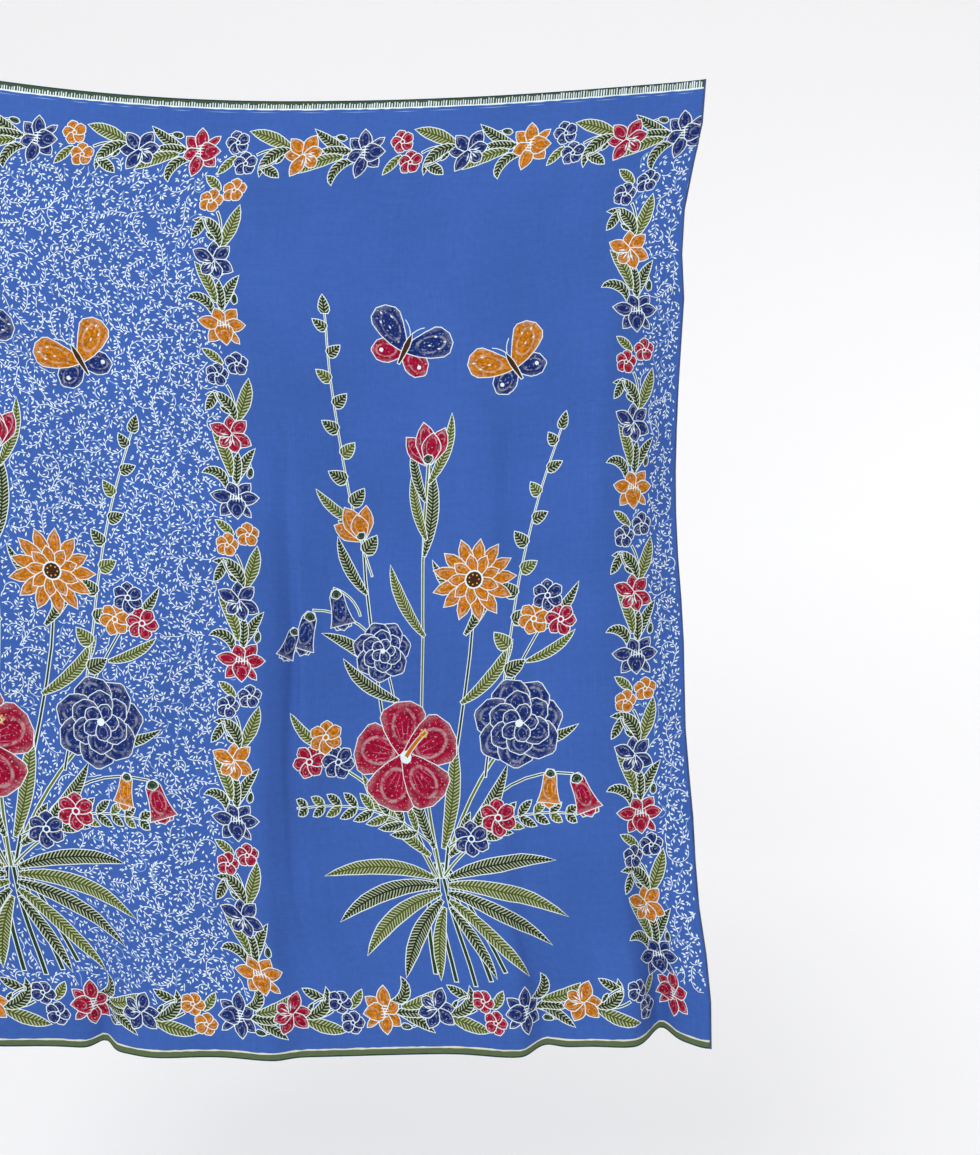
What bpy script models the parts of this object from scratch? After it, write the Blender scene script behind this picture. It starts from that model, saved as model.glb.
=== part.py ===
"""A wrap sarong: one length of printed cotton, doubled over and hung from its top corners.

The cloth is one long rectangle. It starts at the end on the right, runs left as the front
stretch, turns back round a soft fold and comes back behind itself as the back stretch.
+X is to the right of someone who looks at the front, +Z is up and +Y runs away from them.
The origin is the right-hand grip, just below the top edge and between the two stretches.
"""

import math

import bmesh
import bpy
import numpy as np

# Cloth, in metres
CLOTH_LENGTH = 1.985
CLOTH_DROP = 1.042
FOLD_LINE = 1.0
WALL = 0.0012
PIECE_GAP = 0.0003
HEM_RADIUS = 0.0011

# Top edge: how far it hangs below a level line through the right grip, and its two rises
TOP_LOW_POINT = 0.455
TOP_LOW_Z = -0.0088
TOP_RISE_RIGHT = 0.0252
TOP_RISE_LEFT = 0.0640
TOP_FOLD_DISTANCE = 0.99

# Space between the stretches, and where the grips press them together
SPACE_TOP = 0.010
SPACE_HEM = 0.017
GRIP_DROP = 0.016
GRIP_REACH = 0.055
GRIP_PRESS = 0.6
GRIP_INSET = 0.015

# Grid of the walls
ROWS = 22
SECTION_STEP = 0.001
SPLIT_AFTER_FOLD = 0.022
HEM_BEVEL_RESOLUTION = 2

# Where the end on the right hangs, as (distance down from the top edge, X)
RIGHT_END = (
    (0.000, 0.0153),
    (0.066, 0.0088),
    (0.117, -0.0044),
    (0.180, -0.0100),
    (0.241, -0.0068),
    (0.300, -0.0100),
    (0.350, -0.0120),
    (0.460, -0.0142),
    (0.525, -0.0120),
    (0.591, -0.0077),
    (0.679, -0.0066),
    (0.720, -0.0060),
    (0.788, -0.0005),
    (0.898, 0.0044),
    (0.964, 0.0131),
    (1.010, 0.0158),
    (1.042, 0.0153),
)

# Folds of both stretches. "at" is how far left of the right end the fold lies, at the top
# edge and at the hem. "starts", "full" and "ends" are distances down the cloth. "depth" is
# positive away from the viewer. "right" and "left" are the fold's half widths.
FOLD_COLUMNS = ("name", "at_top", "at_hem", "starts", "full", "ends", "depth", "right", "left")
FOLDS = (
    ("corner_flare", 0.000, 0.000, 0.74, 1.06, 2.00, -0.026, 0.030, 0.030),
    ("edge_curl", 0.000, 0.000, 0.06, 0.40, 0.92, 0.028, 0.030, 0.036),
    ("edge_valley", 0.055, 0.052, 0.72, 1.06, 2.00, 0.017, 0.015, 0.016),
    ("edge_ridge", 0.088, 0.082, 0.55, 1.06, 2.00, -0.014, 0.018, 0.036),
    ("upper_ridge", 0.092, 0.096, 0.04, 0.38, 0.80, -0.018, 0.030, 0.030),
    ("inner_trough", 0.195, 0.150, 0.12, 0.50, 0.90, 0.012, 0.026, 0.028),
    ("step_ridge", 0.240, 0.203, 0.62, 1.06, 2.00, -0.019, 0.016, 0.050),
    ("middle_ridge", 0.262, 0.285, 0.20, 0.62, 1.05, -0.012, 0.026, 0.030),
    ("belly", 0.335, 0.350, 0.02, 0.58, 1.14, 0.044, 0.095, 0.085),
    ("long_crease", 0.432, 0.431, 0.30, 0.62, 1.02, 0.008, 0.007, 0.011),
    ("crease_bank", 0.463, 0.470, 0.38, 0.90, 1.40, -0.012, 0.018, 0.040),
    ("plain_ridge", 0.575, 0.600, 0.25, 0.85, 1.60, -0.014, 0.045, 0.035),
    ("hem_pinch", 0.655, 0.657, 0.84, 1.06, 2.00, 0.012, 0.011, 0.013),
    ("left_ridge", 0.760, 0.785, 0.15, 0.95, 2.00, -0.026, 0.060, 0.050),
    ("left_valley", 0.845, 0.885, 0.10, 0.80, 2.00, 0.020, 0.040, 0.036),
    ("left_grip_drag", 0.930, 0.540, 0.02, 0.20, 0.62, 0.010, 0.040, 0.030),
    ("right_grip_drag", 0.035, 0.330, 0.02, 0.16, 0.50, 0.007, 0.022, 0.030),
)

# Folds that only the back stretch has, on top of the others
BACK_FOLDS = (
    ("back_end_lift", 0.000, 0.000, 0.10, 0.90, 2.00, 0.022, 0.050, 0.060),
    ("back_wave_1", 0.190, 0.170, 0.20, 0.85, 1.60, 0.026, 0.040, 0.046),
    ("back_wave_2", 0.400, 0.365, 0.45, 1.06, 2.00, 0.020, 0.034, 0.030),
    ("back_wave_3", 0.560, 0.590, 0.15, 0.80, 1.50, 0.028, 0.050, 0.040),
    ("back_wave_4", 0.740, 0.720, 0.50, 1.06, 2.00, 0.016, 0.028, 0.034),
    ("back_wave_5", 0.870, 0.860, 0.25, 0.95, 1.80, 0.018, 0.036, 0.030),
)

# Short rises of the hem, as (name, distance left of the right end, rise, half width, starts)
HEM_LIFTS = (
    ("corner_drop", 0.000, -0.005, 0.022, 0.90),
    ("valley_lift", 0.047, 0.008, 0.011, 0.92),
    ("step_lift", 0.176, 0.005, 0.016, 0.90),
    ("pinch_lift", 0.658, 0.006, 0.011, 0.94),
    ("left_lift", 0.850, 0.006, 0.040, 0.80),
)

# Stretches of the cloth's length and how far apart their columns lie, as (ends at, step)
FRONT_COLUMNS = ((0.27, 0.0105), (0.47, 0.020), (0.52, 0.0125), (0.66, 0.020),
                 (0.74, 0.0115), (0.97, 0.023), (1.022, 0.0040))
BACK_COLUMNS = ((1.20, 0.022), (1.30, 0.018), (1.74, 0.024), (1.985, 0.0135))

COLLECTION = "sarong"
CLOTH_COLOUR = (0.055, 0.13, 0.44, 1.0)
HEM_COLOUR = (0.012, 0.022, 0.085, 1.0)
CLOTH_ROUGHNESS = 0.85


def smooth(value):
    """Rises from 0 to 1 with flat ends while value goes from 0 to 1."""
    value = np.clip(value, 0.0, 1.0)
    return value * value * (3.0 - 2.0 * value)


def right_end_x(drop):
    """X of the cloth's right end, on a smooth curve through the rows of RIGHT_END."""
    drops, places = np.array(RIGHT_END).T
    slopes = np.gradient(places, drops)
    row = int(np.clip(np.searchsorted(drops, drop) - 1, 0, len(drops) - 2))
    span = drops[row + 1] - drops[row]
    part = (drop - drops[row]) / span
    rest = 1.0 - part
    upper = rest * rest * (1.0 + 2.0 * part) * places[row]
    lower = part * part * (3.0 - 2.0 * part) * places[row + 1]
    return upper + lower + span * part * rest * (rest * slopes[row] - part * slopes[row + 1])


def fold_depth(folds, across, drop):
    """Depth that the folds add at distances across, left of the right end, in one row."""
    depth = np.zeros_like(across)
    for values in folds:
        fold = dict(zip(FOLD_COLUMNS, values))
        place = fold["at_top"] + (fold["at_hem"] - fold["at_top"]) * drop / CLOTH_DROP
        grows = smooth((drop - fold["starts"]) / (fold["full"] - fold["starts"]))
        fades = 1.0 - smooth((drop - fold["full"]) / (fold["ends"] - fold["full"]))
        offset = across - place
        width = np.where(offset < 0.0, fold["right"], fold["left"])
        depth += fold["depth"] * grows * fades * np.exp(-((offset / width) ** 2))
    return depth


def space_between(across, drop):
    """Distance from the front stretch to the back one, least where a grip holds them."""
    space = SPACE_TOP + (SPACE_HEM - SPACE_TOP) * drop / CLOTH_DROP
    pressed = np.zeros_like(across)
    for grip in (GRIP_INSET, TOP_FOLD_DISTANCE - GRIP_INSET):
        pressed += np.exp(-((across - grip) ** 2 + (drop - GRIP_DROP) ** 2) / GRIP_REACH**2)
    return space * (1.0 - GRIP_PRESS * np.clip(pressed, 0.0, 1.0))


def top_z(across):
    """Height of the top edge, which sags between the two grips."""
    right = TOP_RISE_RIGHT * ((across - TOP_LOW_POINT) / TOP_LOW_POINT) ** 2
    left = TOP_RISE_LEFT * ((across - TOP_LOW_POINT) / (TOP_FOLD_DISTANCE - TOP_LOW_POINT)) ** 2
    return TOP_LOW_Z + np.where(across < TOP_LOW_POINT, right, left)


def hem_lift(across, drop):
    """How far the short rises of the hem pull the cloth up."""
    lift = np.zeros_like(across)
    for _name, place, rise, width, starts in HEM_LIFTS:
        grows = smooth((drop - starts) / (CLOTH_DROP - starts))
        lift += rise * grows * np.exp(-(((across - place) / width) ** 2))
    return lift


def lengths_along(x, y):
    """Length of a line through the points, from the first point to each of them."""
    return np.concatenate(([0.0], np.cumsum(np.hypot(np.diff(x), np.diff(y)))))


def section(drop):
    """One row of the cloth, close set, as (length along the cloth, X, Y, Z).

    The front stretch is as long as FOLD_LINE at every height, so the folds draw its left
    edge in. The back stretch follows it and uses the rest of CLOTH_LENGTH.
    """
    start_x = right_end_x(drop)
    across = np.arange(-0.06, FOLD_LINE + SECTION_STEP, SECTION_STEP)
    space = space_between(across, drop)
    middle = fold_depth(FOLDS, across, drop)
    front_y = middle - space / 2.0
    back_y = middle + space / 2.0 + fold_depth(BACK_FOLDS, across, drop)

    from_end = across >= -SECTION_STEP / 2.0
    front_across, front_y = across[from_end], front_y[from_end]
    along = lengths_along(front_across, front_y)
    turn_radius = float(np.interp(TOP_FOLD_DISTANCE - GRIP_INSET, across, space)) / 2.0
    used = along + math.pi * turn_radius / 2.0
    fold_across = float(np.interp(FOLD_LINE, used, front_across))

    kept = front_across < fold_across
    back = across < fold_across
    turn_front_y = float(np.interp(fold_across, front_across, front_y))
    turn_back_y = float(np.interp(fold_across, across, back_y))
    angles = np.linspace(-math.pi / 2.0, math.pi / 2.0, 25)
    turn_across = fold_across + turn_radius * np.cos(angles)
    turn_y = (turn_front_y + turn_back_y) / 2.0 + (turn_back_y - turn_front_y) / 2.0 * np.sin(angles)
    line_across = np.concatenate((front_across[kept], turn_across, across[back][::-1]))
    line_y = np.concatenate((front_y[kept], turn_y, back_y[back][::-1]))
    along = lengths_along(line_across, line_y)
    line_z = top_z(line_across) - drop + hem_lift(line_across, drop)
    return along, start_x - line_across, line_y, line_z


def cloth_points(columns, rows):
    """Points of the cloth at lengths columns and drops rows, as an array of rows."""
    grid = []
    for drop in rows:
        along, x, y, z = section(drop)
        grid.append(np.stack([np.interp(columns, along, values) for values in (x, y, z)], axis=1))
    return np.array(grid)


def spaced(start, stretches):
    """Column places from start on, evenly set inside each stretch."""
    places = [start]
    for ends_at, step in stretches:
        count = max(1, round((ends_at - places[-1]) / step))
        places.extend(np.linspace(places[-1], ends_at, count + 1)[1:])
    return np.array(places)


def material(name, colour):
    made = bpy.data.materials.new(name)
    made.use_nodes = True
    shader = made.node_tree.nodes["Principled BSDF"]
    shader.inputs["Base Color"].default_value = colour
    shader.inputs["Roughness"].default_value = CLOTH_ROUGHNESS
    shader.inputs["Metallic"].default_value = 0.0
    made.diffuse_color = colour
    return made


def wall(name, columns, rows, finish, collection):
    """One stretch of the cloth: an open surface that Solidify makes into a thin wall."""
    points = cloth_points(columns, rows)
    surface = bmesh.new()
    verts = [[surface.verts.new(point) for point in row] for row in points]
    for upper, lower in zip(verts, verts[1:]):
        for column in range(len(columns) - 1):
            surface.faces.new((upper[column], lower[column], lower[column + 1], upper[column + 1]))
    mesh = bpy.data.meshes.new(name)
    surface.to_mesh(mesh)
    surface.free()
    mesh.shade_smooth()
    mesh.materials.append(finish)
    piece = bpy.data.objects.new(name, mesh)
    collection.objects.link(piece)
    thick = piece.modifiers.new("Wall", "SOLIDIFY")
    thick.thickness = WALL
    thick.offset = 0.0
    thick.use_even_offset = True
    return piece


def rolled_hem(name, last_columns, rows, finish, collection):
    """A thin roll of turned cloth along one end, PIECE_GAP clear of the wall's last column."""
    outward = HEM_RADIUS + PIECE_GAP
    ends = cloth_points(np.sort(last_columns), rows)
    edge, inner = ends[:, 0], ends[:, 1]
    if last_columns[0] > last_columns[1]:
        edge, inner = inner, edge
    away = edge - inner
    away /= np.linalg.norm(away, axis=1)[:, None]
    curve = bpy.data.curves.new(name, "CURVE")
    curve.dimensions = "3D"
    curve.bevel_depth = HEM_RADIUS
    curve.bevel_resolution = HEM_BEVEL_RESOLUTION
    curve.use_fill_caps = True
    spline = curve.splines.new("POLY")
    spline.points.add(len(rows) - 1)
    for point, place in zip(spline.points, edge + away * outward):
        point.co = (*place, 1.0)
    curve.materials.append(finish)
    piece = bpy.data.objects.new(name, curve)
    collection.objects.link(piece)
    return piece


def build():
    for old in list(bpy.data.objects):
        bpy.data.objects.remove(old)
    collection = bpy.data.collections.new(COLLECTION)
    bpy.context.scene.collection.children.link(collection)

    cloth = material("cloth", CLOTH_COLOUR)
    hem = material("hem", HEM_COLOUR)
    hem_room = 2.0 * HEM_RADIUS + PIECE_GAP
    split = FOLD_LINE + SPLIT_AFTER_FOLD
    back_end = CLOTH_LENGTH - hem_room

    wall_rows = np.linspace(0.0, CLOTH_DROP, ROWS + 1)
    front_columns = spaced(hem_room, FRONT_COLUMNS)
    back_columns = spaced(split + PIECE_GAP, BACK_COLUMNS[:-1] + ((back_end, BACK_COLUMNS[-1][1]),))
    wall("front_stretch", front_columns, wall_rows, cloth, collection)
    wall("back_stretch", back_columns, wall_rows, cloth, collection)

    rolled_hem("front_end_hem", front_columns[[0, 1]], wall_rows, hem, collection)
    rolled_hem("back_end_hem", back_columns[[-1, -2]], wall_rows, hem, collection)


build()
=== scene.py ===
"""Looks of the sarong: a thin printed cloth, doubled over and hung from its two top corners.

The cloth follows the same form as the CAD solids. Its print is part of the mesh: every
petal, leaf, stem and stroke is cut into the faces, and a colour attribute gives its dye.
Places on the flat cloth are in millimetres: s runs left from the end on the right, t runs
down from the top edge.
"""

import math
import random

import bpy
import numpy as np
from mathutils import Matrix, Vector
from mathutils.geometry import delaunay_2d_cdt


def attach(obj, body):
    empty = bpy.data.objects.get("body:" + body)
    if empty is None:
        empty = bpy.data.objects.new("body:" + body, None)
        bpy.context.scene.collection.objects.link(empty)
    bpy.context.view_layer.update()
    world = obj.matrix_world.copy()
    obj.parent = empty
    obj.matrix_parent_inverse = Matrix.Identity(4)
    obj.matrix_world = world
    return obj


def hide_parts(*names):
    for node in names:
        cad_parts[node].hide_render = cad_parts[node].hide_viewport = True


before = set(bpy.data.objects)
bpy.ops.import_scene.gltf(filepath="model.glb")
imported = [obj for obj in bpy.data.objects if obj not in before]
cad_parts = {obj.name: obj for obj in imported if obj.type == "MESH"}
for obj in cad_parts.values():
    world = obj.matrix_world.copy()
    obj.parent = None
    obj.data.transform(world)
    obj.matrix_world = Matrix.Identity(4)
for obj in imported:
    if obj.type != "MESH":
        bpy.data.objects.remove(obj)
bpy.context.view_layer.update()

# Cloth, in metres, as in the CAD source
CLOTH_LENGTH = 1.985
CLOTH_DROP = 1.042
FOLD_LINE = 1.0
HEM_RADIUS = 0.0011
SPLIT_AFTER_FOLD = 0.022
TOP_LOW_POINT = 0.455
TOP_LOW_Z = -0.0088
TOP_RISE_RIGHT = 0.0252
TOP_RISE_LEFT = 0.0640
TOP_FOLD_DISTANCE = 0.99
SPACE_TOP = 0.010
SPACE_HEM = 0.017
GRIP_DROP = 0.016
GRIP_REACH = 0.055
GRIP_PRESS = 0.6
GRIP_INSET = 0.015
SECTION_STEP = 0.001
RUN_ON = 0.06
TURN_POINTS = 25

# Where the end on the right hangs, as (distance down from the top edge, X)
RIGHT_END = (
    (0.000, 0.0153), (0.066, 0.0088), (0.117, -0.0044), (0.180, -0.0100),
    (0.241, -0.0068), (0.300, -0.0100), (0.350, -0.0120), (0.460, -0.0142),
    (0.525, -0.0120), (0.591, -0.0077), (0.679, -0.0066), (0.720, -0.0060),
    (0.788, -0.0005), (0.898, 0.0044), (0.964, 0.0131), (1.010, 0.0158),
    (1.042, 0.0153),
)

# Folds of both stretches, in the CAD source's order, as (at top, at hem, starts, full, ends,
# depth, right half width, left half width), and folds that only the back stretch has
FOLDS = (
    (0.000, 0.000, 0.74, 1.06, 2.00, -0.026, 0.030, 0.030),
    (0.000, 0.000, 0.06, 0.40, 0.92, 0.028, 0.030, 0.036),
    (0.055, 0.052, 0.72, 1.06, 2.00, 0.017, 0.015, 0.016),
    (0.088, 0.082, 0.55, 1.06, 2.00, -0.014, 0.018, 0.036),
    (0.092, 0.096, 0.04, 0.38, 0.80, -0.018, 0.030, 0.030),
    (0.195, 0.150, 0.12, 0.50, 0.90, 0.012, 0.026, 0.028),
    (0.240, 0.203, 0.62, 1.06, 2.00, -0.019, 0.016, 0.050),
    (0.262, 0.285, 0.20, 0.62, 1.05, -0.012, 0.026, 0.030),
    (0.335, 0.350, 0.02, 0.58, 1.14, 0.044, 0.095, 0.085),
    (0.432, 0.431, 0.30, 0.62, 1.02, 0.008, 0.007, 0.011),
    (0.463, 0.470, 0.38, 0.90, 1.40, -0.012, 0.018, 0.040),
    (0.575, 0.600, 0.25, 0.85, 1.60, -0.014, 0.045, 0.035),
    (0.655, 0.657, 0.84, 1.06, 2.00, 0.012, 0.011, 0.013),
    (0.760, 0.785, 0.15, 0.95, 2.00, -0.026, 0.060, 0.050),
    (0.845, 0.885, 0.10, 0.80, 2.00, 0.020, 0.040, 0.036),
    (0.930, 0.540, 0.02, 0.20, 0.62, 0.010, 0.040, 0.030),
    (0.035, 0.330, 0.02, 0.16, 0.50, 0.007, 0.022, 0.030),
)
BACK_FOLDS = (
    (0.000, 0.000, 0.10, 0.90, 2.00, 0.022, 0.050, 0.060),
    (0.190, 0.170, 0.20, 0.85, 1.60, 0.026, 0.040, 0.046),
    (0.400, 0.365, 0.45, 1.06, 2.00, 0.020, 0.034, 0.030),
    (0.560, 0.590, 0.15, 0.80, 1.50, 0.028, 0.050, 0.040),
    (0.740, 0.720, 0.50, 1.06, 2.00, 0.016, 0.028, 0.034),
    (0.870, 0.860, 0.25, 0.95, 1.80, 0.018, 0.036, 0.030),
)

# Rises of the hem, as (distance left of the right end, rise, half width, starts)
HEM_LIFTS = (
    (0.000, -0.005, 0.022, 0.90),
    (0.047, 0.008, 0.011, 0.92),
    (0.176, 0.005, 0.016, 0.90),
    (0.658, 0.006, 0.011, 0.94),
    (0.850, 0.006, 0.040, 0.80),
)


def smooth(value):
    """Rises from 0 to 1 with flat ends while value goes from 0 to 1."""
    value = np.clip(value, 0.0, 1.0)
    return value * value * (3.0 - 2.0 * value)


def right_end_x(drop):
    """X of the cloth's right end, on a smooth curve through the rows of RIGHT_END."""
    drops, places = np.array(RIGHT_END).T
    slopes = np.gradient(places, drops)
    row = int(np.clip(np.searchsorted(drops, drop) - 1, 0, len(drops) - 2))
    span = drops[row + 1] - drops[row]
    part = (drop - drops[row]) / span
    rest = 1.0 - part
    upper = rest * rest * (1.0 + 2.0 * part) * places[row]
    lower = part * part * (3.0 - 2.0 * part) * places[row + 1]
    return upper + lower + span * part * rest * (rest * slopes[row] - part * slopes[row + 1])


def fold_depth(folds, across, drop):
    """Depth that the folds add at distances across, left of the right end, in one row."""
    depth = np.zeros_like(across)
    for at_top, at_hem, starts, full, ends, deep, right, left in folds:
        offset = across - (at_top + (at_hem - at_top) * drop / CLOTH_DROP)
        grows = smooth((drop - starts) / (full - starts))
        fades = 1.0 - smooth((drop - full) / (ends - full))
        depth += deep * grows * fades * np.exp(-((offset / np.where(offset < 0.0, right, left)) ** 2))
    return depth


def space_between(across, drop):
    """Distance from the front stretch to the back one, least at the two grips."""
    space = SPACE_TOP + (SPACE_HEM - SPACE_TOP) * drop / CLOTH_DROP
    pressed = np.zeros_like(across)
    for grip in (GRIP_INSET, TOP_FOLD_DISTANCE - GRIP_INSET):
        pressed += np.exp(-((across - grip) ** 2 + (drop - GRIP_DROP) ** 2) / GRIP_REACH**2)
    return space * (1.0 - GRIP_PRESS * np.clip(pressed, 0.0, 1.0))


def top_z(across):
    """Height of the top edge, which sags between the two grips."""
    right = TOP_RISE_RIGHT * ((across - TOP_LOW_POINT) / TOP_LOW_POINT) ** 2
    left = TOP_RISE_LEFT * ((across - TOP_LOW_POINT) / (TOP_FOLD_DISTANCE - TOP_LOW_POINT)) ** 2
    return TOP_LOW_Z + np.where(across < TOP_LOW_POINT, right, left)


def hem_lift(across, drop):
    """How far the short rises of the hem pull the cloth up."""
    lift = np.zeros_like(across)
    for place, rise, width, starts in HEM_LIFTS:
        grows = smooth((drop - starts) / (CLOTH_DROP - starts))
        lift += rise * grows * np.exp(-(((across - place) / width) ** 2))
    return lift


def lengths_along(x, y):
    """Length of a line through the points, from the first point to each of them."""
    return np.concatenate(([0.0], np.cumsum(np.hypot(np.diff(x), np.diff(y)))))


def section(drop):
    """One row of the cloth, close set, as (length along the cloth, X, Y, Z)."""
    start_x = right_end_x(drop)
    across = np.arange(-RUN_ON, FOLD_LINE + SECTION_STEP, SECTION_STEP)
    space = space_between(across, drop)
    middle = fold_depth(FOLDS, across, drop)
    front_y = middle - space / 2.0
    back_y = middle + space / 2.0 + fold_depth(BACK_FOLDS, across, drop)

    from_end = across >= -SECTION_STEP / 2.0
    front_across, front_y = across[from_end], front_y[from_end]
    along = lengths_along(front_across, front_y)
    turn_radius = float(np.interp(TOP_FOLD_DISTANCE - GRIP_INSET, across, space)) / 2.0
    used = along + math.pi * turn_radius / 2.0
    fold_across = float(np.interp(FOLD_LINE, used, front_across))

    kept = front_across < fold_across
    back = across < fold_across
    turn_front_y = float(np.interp(fold_across, front_across, front_y))
    turn_back_y = float(np.interp(fold_across, across, back_y))
    angles = np.linspace(-math.pi / 2.0, math.pi / 2.0, TURN_POINTS)
    turn_across = fold_across + turn_radius * np.cos(angles)
    turn_y = (turn_front_y + turn_back_y) / 2.0 + (turn_back_y - turn_front_y) / 2.0 * np.sin(angles)
    line_across = np.concatenate((front_across[kept], turn_across, across[back][::-1]))
    line_y = np.concatenate((front_y[kept], turn_y, back_y[back][::-1]))
    along = lengths_along(line_across, line_y)
    line_z = top_z(line_across) - drop + hem_lift(line_across, drop)
    return along, start_x - line_across, line_y, line_z


# The flat cloth, in millimetres
LENGTH = 1000.0 * CLOTH_LENGTH
DROP = 1000.0 * CLOTH_DROP
HEM_MIDDLE = 1000.0 * HEM_RADIUS
SPLIT = 1000.0 * (FOLD_LINE + SPLIT_AFTER_FOLD)
SAMPLE_S = 1.0
SAMPLE_T = 2.0
INSIDE = 0.25
RIM_WIDTH = 9.0

# Its thickness, and how much deeper the inner face lies away from the edges, in metres
THICKNESS = 0.0007
HIDDEN_ROOM = 0.0009

# Keeps a place short of a sample grid's last row and column
LAST_SAMPLE = 1.001

# How far a crease wanders, as a share of its width, how fast, and how quickly its ends fade
CREASE_WANDER, CREASE_TURNS, CREASE_FADE = 0.3, 5.0, 4.0

# Small creases as (from s, from t, to s, to t, half width, depth), in millimetres. A trough's
# depth is above 0.
CREASES = (
    (396, 150, 388, 520, 9, 0.9), (352, 170, 338, 430, 13, -0.8), (300, 84, 320, 330, 10, 0.7),
    (236, 120, 252, 470, 15, -0.9), (206, 300, 213, 650, 8, 0.8), (150, 76, 126, 430, 12, -1.0),
    (116, 400, 110, 720, 9, 0.7), (262, 850, 255, 1040, 5, 0.9), (238, 884, 236, 1040, 6, -0.8),
    (214, 856, 205, 1040, 5, 0.8), (178, 820, 175, 1034, 8, -0.7), (334, 900, 330, 1040, 6, 0.7),
    (424, 850, 421, 1040, 8, -0.8), (454, 360, 447, 1026, 6, 1.3), (86, 388, 486, 394, 4, 0.3),
    (600, 190, 584, 770, 11, 1.0), (694, 110, 702, 570, 14, -0.9), (764, 480, 750, 1010, 9, 0.9),
    (840, 90, 824, 460, 12, 0.8), (905, 500, 918, 1000, 13, -1.0), (36, 24, 118, 126, 6, -0.9),
    (26, 40, 66, 170, 5, 0.8), (60, 18, 210, 74, 7, 0.6), (958, 26, 850, 150, 7, 0.9),
    (972, 44, 930, 210, 6, -0.8), (1130, 140, 1150, 640, 12, 0.9), (1240, 420, 1228, 1020, 9, -0.8),
    (1368, 90, 1350, 500, 13, 0.8), (1470, 560, 1482, 1036, 8, 0.8), (1590, 160, 1572, 720, 12, -0.9),
    (1700, 600, 1712, 1030, 9, 0.8), (1804, 100, 1822, 540, 12, 0.9), (1900, 420, 1888, 980, 10, -0.8),
    (1950, 26, 1860, 132, 6, 0.8),
)


def crease_depth(s, t):
    """Depth in metres that the small creases add at flat places."""
    depth = np.zeros(np.broadcast(s, t).shape)
    for from_s, from_t, to_s, to_t, width, amount in CREASES:
        run_s, run_t = to_s - from_s, to_t - from_t
        share = ((s - from_s) * run_s + (t - from_t) * run_t) / (run_s**2 + run_t**2)
        away = ((s - from_s) * run_t - (t - from_t) * run_s) / math.hypot(run_s, run_t)
        wander = away + CREASE_WANDER * width * np.sin(CREASE_TURNS * share + from_s)
        fades = smooth(share * CREASE_FADE) * smooth((1.0 - share) * CREASE_FADE)
        depth += amount / 1000.0 * fades * np.exp(-((wander / width) ** 2))
    return depth


def outward_of(points):
    """Unit directions square to a grid of points, away from the space between the stretches."""
    down, left = np.gradient(points, axis=(0, 1))
    outward = np.cross(left, down)
    return outward / np.linalg.norm(outward, axis=2)[:, :, None]


def sample_cloth():
    """Points and outward directions of the cloth's middle surface, in rows down the cloth."""
    columns = np.arange(0.0, LENGTH + SAMPLE_S, SAMPLE_S) / 1000.0
    rows = np.arange(0.0, DROP + SAMPLE_T / 2.0, SAMPLE_T) / 1000.0
    points = np.empty((len(rows), len(columns), 3))
    for row, drop in enumerate(rows):
        along, x, y, z = section(drop)
        for axis, values in enumerate((x, y, z)):
            points[row, :, axis] = np.interp(columns, along, values)
    depth = crease_depth(1000.0 * columns[None, :], 1000.0 * rows[:, None])
    points -= depth[:, :, None] * outward_of(points)
    return points, outward_of(points)


def read_grid(grid, flat):
    """Values of a sample grid at flat places (s, t), straight between its samples."""
    column = np.clip(flat[:, 0] / SAMPLE_S, 0.0, grid.shape[1] - LAST_SAMPLE)
    row = np.clip(flat[:, 1] / SAMPLE_T, 0.0, grid.shape[0] - LAST_SAMPLE)
    c0, r0 = column.astype(int), row.astype(int)
    c, r = (column - c0)[:, None], (row - r0)[:, None]
    upper = grid[r0, c0] * (1.0 - c) + grid[r0, c0 + 1] * c
    lower = grid[r0 + 1, c0] * (1.0 - c) + grid[r0 + 1, c0 + 1] * c
    return upper * (1.0 - r) + lower * r


# Dyes, as the sRGB values that they should show in the photograph's light
DYES = {
    "ground": (62, 99, 177),
    "white": (232, 246, 250),
    "pale": (150, 180, 226),
    "crimson": (158, 8, 52),
    "yellow": (194, 116, 8),
    "navy": (24, 46, 112),
    "dark_green": (36, 62, 36),
    "olive": (100, 114, 34),
    "selvage": (64, 84, 66),
    "hem_green": (92, 108, 76),
    "cream": (224, 226, 206),
    "brown": (66, 40, 20),
    "crimson_light": (205, 92, 124),
    "yellow_light": (232, 176, 92),
    "navy_light": (86, 114, 176),
}
DYE_NAMES = tuple(DYES)
NAVY, RED, GOLD, DARK, OLIVE = "navy", "crimson", "yellow", "dark_green", "olive"
PLAIN, LEAF, PETAL = 0.0, 1.0, 2.0


class Drawing:
    """Shapes of the print on the flat cloth, later ones on top of earlier ones."""

    def __init__(self):
        self.shapes = []

    def add(self, points, dye, kind=PLAIN, spine=None, half=1.0):
        points = np.asarray(points, float)
        following = np.roll(points, -1, axis=0)
        area = float(np.sum(points[:, 0] * following[:, 1] - points[:, 1] * following[:, 0]))
        if area < 0.0:
            points = points[::-1]
        self.shapes.append((points, DYE_NAMES.index(dye), kind, spine, half))


# Limits at an outline's sharp corners, so that they don't grow to spikes
SHARPEST, MOST_GROWTH = 0.6, 1.6


def grown(points, distance):
    """A closed outline moved outward by distance, or inward where distance is negative."""
    before = points - np.roll(points, 1, axis=0)
    after = np.roll(points, -1, axis=0) - points
    before /= np.maximum(np.linalg.norm(before, axis=1), 1e-9)[:, None]
    after /= np.maximum(np.linalg.norm(after, axis=1), 1e-9)[:, None]
    sides = np.stack([before[:, 1] + after[:, 1], -before[:, 0] - after[:, 0]], axis=1)
    length = np.maximum(np.linalg.norm(sides, axis=1), SHARPEST)[:, None]
    return points + sides / length * distance * np.minimum(2.0 / length, MOST_GROWTH)


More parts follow.
